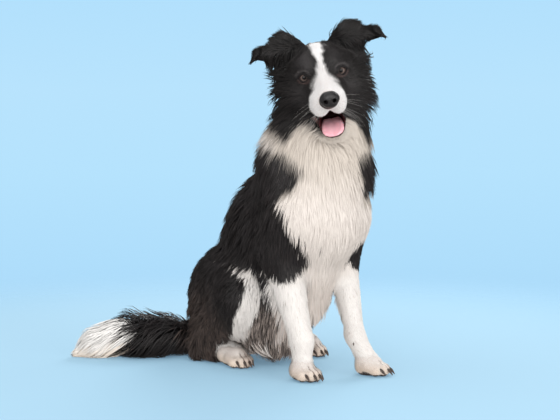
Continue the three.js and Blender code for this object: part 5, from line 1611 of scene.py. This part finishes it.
def whiskers():
    rng = np.random.default_rng(77)
    lines, width = [], []
    for s in (1, -1):
        spots = [(20 + 3 * rng.random(), -66 + 10 * i + rng.normal(0, 1.5), -48 - 7 * j + rng.normal(0, 1.2)) for j in range(3) for i in range(4)]
        spots += [(17, -30, -96), (14, -44, -99), (18, -18, -94), (10, -52, -104)]
        for c in spots:
            q = np.array([c[0] * s, c[1], c[2]])
            p = from_head(q)[None].astype(F)
            d = skin_field(p)
            g = gradient_free(skin_field, p, d)
            nrm = unit(g.astype(float))[0]
            p0 = p[0].astype(float) - nrm * (float(d[0]) + .4)
            out = unit(dir_from_head(np.array([s * 1.0, -.25 + .45 * rng.random(), -.25 - .5 * rng.random()])) + nrm * .4)
            bend = dir_from_head(np.array([0, .35, -.55]))
            ln = 24 + 24 * rng.random()
            t = np.linspace(0, 1, 7)[:, None]
            L_ = p0 + out * ln * t + bend * ln * .35 * t ** 2
            lines.append(L_); width.append(.26)
    V, T, base = [], [], 0
    seg = 5
    for L_, w in zip(lines, width):
        tan = unit(np.gradient(L_, axis=0)); side = unit(np.cross(tan, [.2, .1, 1.0])); up = np.cross(side, tan)
        n = len(L_); ph = np.arange(seg) * 2 * math.pi / seg
        P = [L_[0]]
        for i in range(n - 1):
            r = w * (1 - .8 * i / (n - 1)) / 1.6
            P += list(L_[i] + side[i] * (np.cos(ph) * r)[:, None] + up[i] * (np.sin(ph) * r)[:, None])
        P.append(L_[-1])
        j = np.arange(seg); k = (j + 1) % seg
        t = [np.stack([np.zeros(seg, int), 1 + j, 1 + k], 1)]
        for i in range(n - 2):
            p0, p1 = 1 + i * seg, 1 + (i + 1) * seg
            t += [np.stack([p0 + j, p1 + k, p0 + k], 1), np.stack([p0 + j, p1 + j, p1 + k], 1)]
        p0 = 1 + (n - 2) * seg
        t.append(np.stack([np.full(seg, len(P) - 1), p0 + k, p0 + j], 1))
        V.append(np.array(P)); T.append(np.concatenate(t) + base); base += len(P)
    return np.concatenate(V), np.concatenate(T)


def gradient_free(fn, P, d, e=.6):
    g = np.empty_like(P)
    for k in range(3):
        Q = P.copy(); Q[:, k] += F(e)
        g[:, k] = (fn(Q) - d) / F(e)
    return g


WV, WT = whiskers()
whisk = mesh_object("whiskers", WV, WT)
wm, wnt, wb = material("whisker")
wn = node(wnt, "ShaderNodeTexNoise", in_Scale=300.0); wc = node(wnt, "ShaderNodeTexCoord"); wnt.links.new(wc.outputs["Object"], wn.inputs["Vector"])
wr = node(wnt, "ShaderNodeMix", data_type="RGBA"); wr.inputs["A"].default_value = (.30, .29, .28, 1); wr.inputs["B"].default_value = (.55, .54, .53, 1)
wnt.links.new(wn.outputs[0], wr.inputs["Factor"]); wnt.links.new(wr.outputs["Result"], wb.inputs["Base Color"])
wb.inputs["Roughness"].default_value = .4
set_material(whisk, wm)

# ------------------------------------------------------------------ what rides on what
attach(skin, "root"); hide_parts(*FLESH)
for ob, _, _ in pieces:
    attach(ob, "root")
for ob, nodes_, slot_ in ((eye_left, ["eye_left"], "eye"), (eye_right, ["eye_right"], "eye"), (nose, ["nose"], "nose_leather"),
                          (tongue, ["tongue"], "tongue_flesh"), (claws, CLAW_NODES, "claw")):
    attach(ob, "root"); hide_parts(*nodes_)
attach(whisk, "root")


# the white coat is lit softly through its own hair: it lets light pass to the hair below
for ob in bpy.data.objects:
    if ob.name.startswith(("coat_chest", "coat_forelegs", "coat_neck", "coat_head")):
        ob.visible_shadow = False


# ------------------------------------------------------------------ camera, floor and light
YAW, PITCH = math.radians(33.436), math.radians(-3.623)
cam_data = bpy.data.cameras.new("camera"); cam = bpy.data.objects.new("camera", cam_data)
bpy.context.scene.collection.objects.link(cam)
cam.location = to_row([-1498.85, -2062.99, 485.0])
fwd = Vector((math.sin(YAW) * math.cos(PITCH), math.cos(YAW) * math.cos(PITCH), math.sin(PITCH)))
cam.rotation_euler = fwd.to_track_quat("-Z", "Y").to_euler()
cam_data.lens = 86.27; cam_data.sensor_width = 36.0; cam_data.sensor_fit = "HORIZONTAL"
bpy.context.scene.camera = cam

SKY = (.445, .73, .98)
me = bpy.data.meshes.new("floor")
g = 24; size = 8.0
xs = np.linspace(-size, size, g + 1)
fv = np.array([(x, y, 0.0) for y in xs for x in xs])
fq = np.array([(j * (g + 1) + i, j * (g + 1) + i + 1, (j + 1) * (g + 1) + i + 1, (j + 1) * (g + 1) + i) for j in range(g) for i in range(g)])
floor = mesh_object("floor", fv, fq, row=False)
floor.visible_diffuse = False; floor.visible_glossy = False
fm, fnt, fb = material("floor")
fb.inputs["Base Color"].default_value = (.255, .395, .49, 1)
fb.inputs["Emission Color"].default_value = (.40, .72, 1.0, 1); fb.inputs["Emission Strength"].default_value = .25; fb.inputs["Roughness"].default_value = .9
fb.inputs["Specular IOR Level"].default_value = .1
fc = node(fnt, "ShaderNodeTexCoord"); ln = node(fnt, "ShaderNodeVectorMath", operation="LENGTH"); fnt.links.new(fc.outputs["Object"], ln.inputs[0])
fr = node(fnt, "ShaderNodeMapRange", interpolation_type="SMOOTHERSTEP"); fr.inputs["From Min"].default_value = .60; fr.inputs["From Max"].default_value = 1.9
fnt.links.new(ln.outputs["Value"], fr.inputs["Value"])
ft = node(fnt, "ShaderNodeBsdfTransparent"); fmix = node(fnt, "ShaderNodeMixShader")
fout = [n for n in fnt.nodes if n.type == "OUTPUT_MATERIAL"][0]
fnt.links.new(fr.outputs[0], fmix.inputs[0]); fnt.links.new(fb.outputs[0], fmix.inputs[1]); fnt.links.new(ft.outputs[0], fmix.inputs[2])
fnt.links.new(fmix.outputs[0], fout.inputs[0])
floor.data.materials.append(fm)

world = bpy.data.worlds.new("world"); bpy.context.scene.world = world; world.use_nodes = True
wt = world.node_tree; wt.nodes.clear()
wo = wt.nodes.new("ShaderNodeOutputWorld"); wa = wt.nodes.new("ShaderNodeBackground"); wb2 = wt.nodes.new("ShaderNodeBackground"); lp = wt.nodes.new("ShaderNodeLightPath")
wx = wt.nodes.new("ShaderNodeMixShader")
wa.inputs[0].default_value = (1.0, .985, .965, 1); wa.inputs[1].default_value = .98
# what the camera sees behind the floor: paler above, a little deeper towards the horizon
wc_ = wt.nodes.new("ShaderNodeTexCoord"); ws = wt.nodes.new("ShaderNodeSeparateXYZ"); wr_ = wt.nodes.new("ShaderNodeMapRange"); wramp = wt.nodes.new("ShaderNodeValToRGB")
wr_.inputs["From Min"].default_value = -.20; wr_.inputs["From Max"].default_value = .10
wt.links.new(wc_.outputs["Generated"], ws.inputs[0]); wt.links.new(ws.outputs["Z"], wr_.inputs["Value"]); wt.links.new(wr_.outputs[0], wramp.inputs[0])
e = wramp.color_ramp.elements
e[0].position = 0.0; e[0].color = (.42, .72, .96, 1); e[1].position = 1.0; e[1].color = (.445, .745, .98, 1)
for at, c in ((.17, (.40, .69, .94, 1)), (.33, (.43, .73, .97, 1)), (.55, (.465, .765, .985, 1)), (.75, (.48, .77, .985, 1))):
    k = e.new(at); k.color = c
wt.links.new(wramp.outputs[0], wb2.inputs[0]); wb2.inputs[1].default_value = 1.0
wg = wt.nodes.new("ShaderNodeBackground"); wg.inputs[0].default_value = (1.0, .985, .965, 1); wg.inputs[1].default_value = .30
wy = wt.nodes.new("ShaderNodeMixShader")
wt.links.new(lp.outputs["Is Glossy Ray"], wy.inputs[0]); wt.links.new(wa.outputs[0], wy.inputs[1]); wt.links.new(wg.outputs[0], wy.inputs[2])
wt.links.new(lp.outputs["Is Camera Ray"], wx.inputs[0]); wt.links.new(wy.outputs[0], wx.inputs[1]); wt.links.new(wb2.outputs[0], wx.inputs[2]); wt.links.new(wx.outputs[0], wo.inputs[0])


def area_light(name, at, aim, size, power, colour=(1, 1, 1)):
    d = bpy.data.lights.new(name, "AREA"); d.shape = "DISK"; d.size = size; d.energy = power; d.color = colour
    o = bpy.data.objects.new(name, d); bpy.context.scene.collection.objects.link(o)
    o.location = at
    o.rotation_euler = (Vector(aim) - Vector(at)).to_track_quat("-Z", "Y").to_euler()
    return o


area_light("key", (-2.0, -2.6, 1.7), (0, 0, .36), 2.4, 52, (1, .985, .965))
area_light("fill", (.8, -3.2, .8), (0, 0, .33), 2.4, 34, (1, .985, .965))
area_light("rim", (1.9, 1.2, 1.9), (0, 0, .4), 1.3, 34)
area_light("top", (-.5, .3, 3.0), (0, 0, .3), 2.2, 10)
sc = bpy.context.scene
sc.view_settings.view_transform = "Standard"; sc.view_settings.look = "None"; sc.view_settings.exposure = 0.0; sc.view_settings.gamma = 1.0
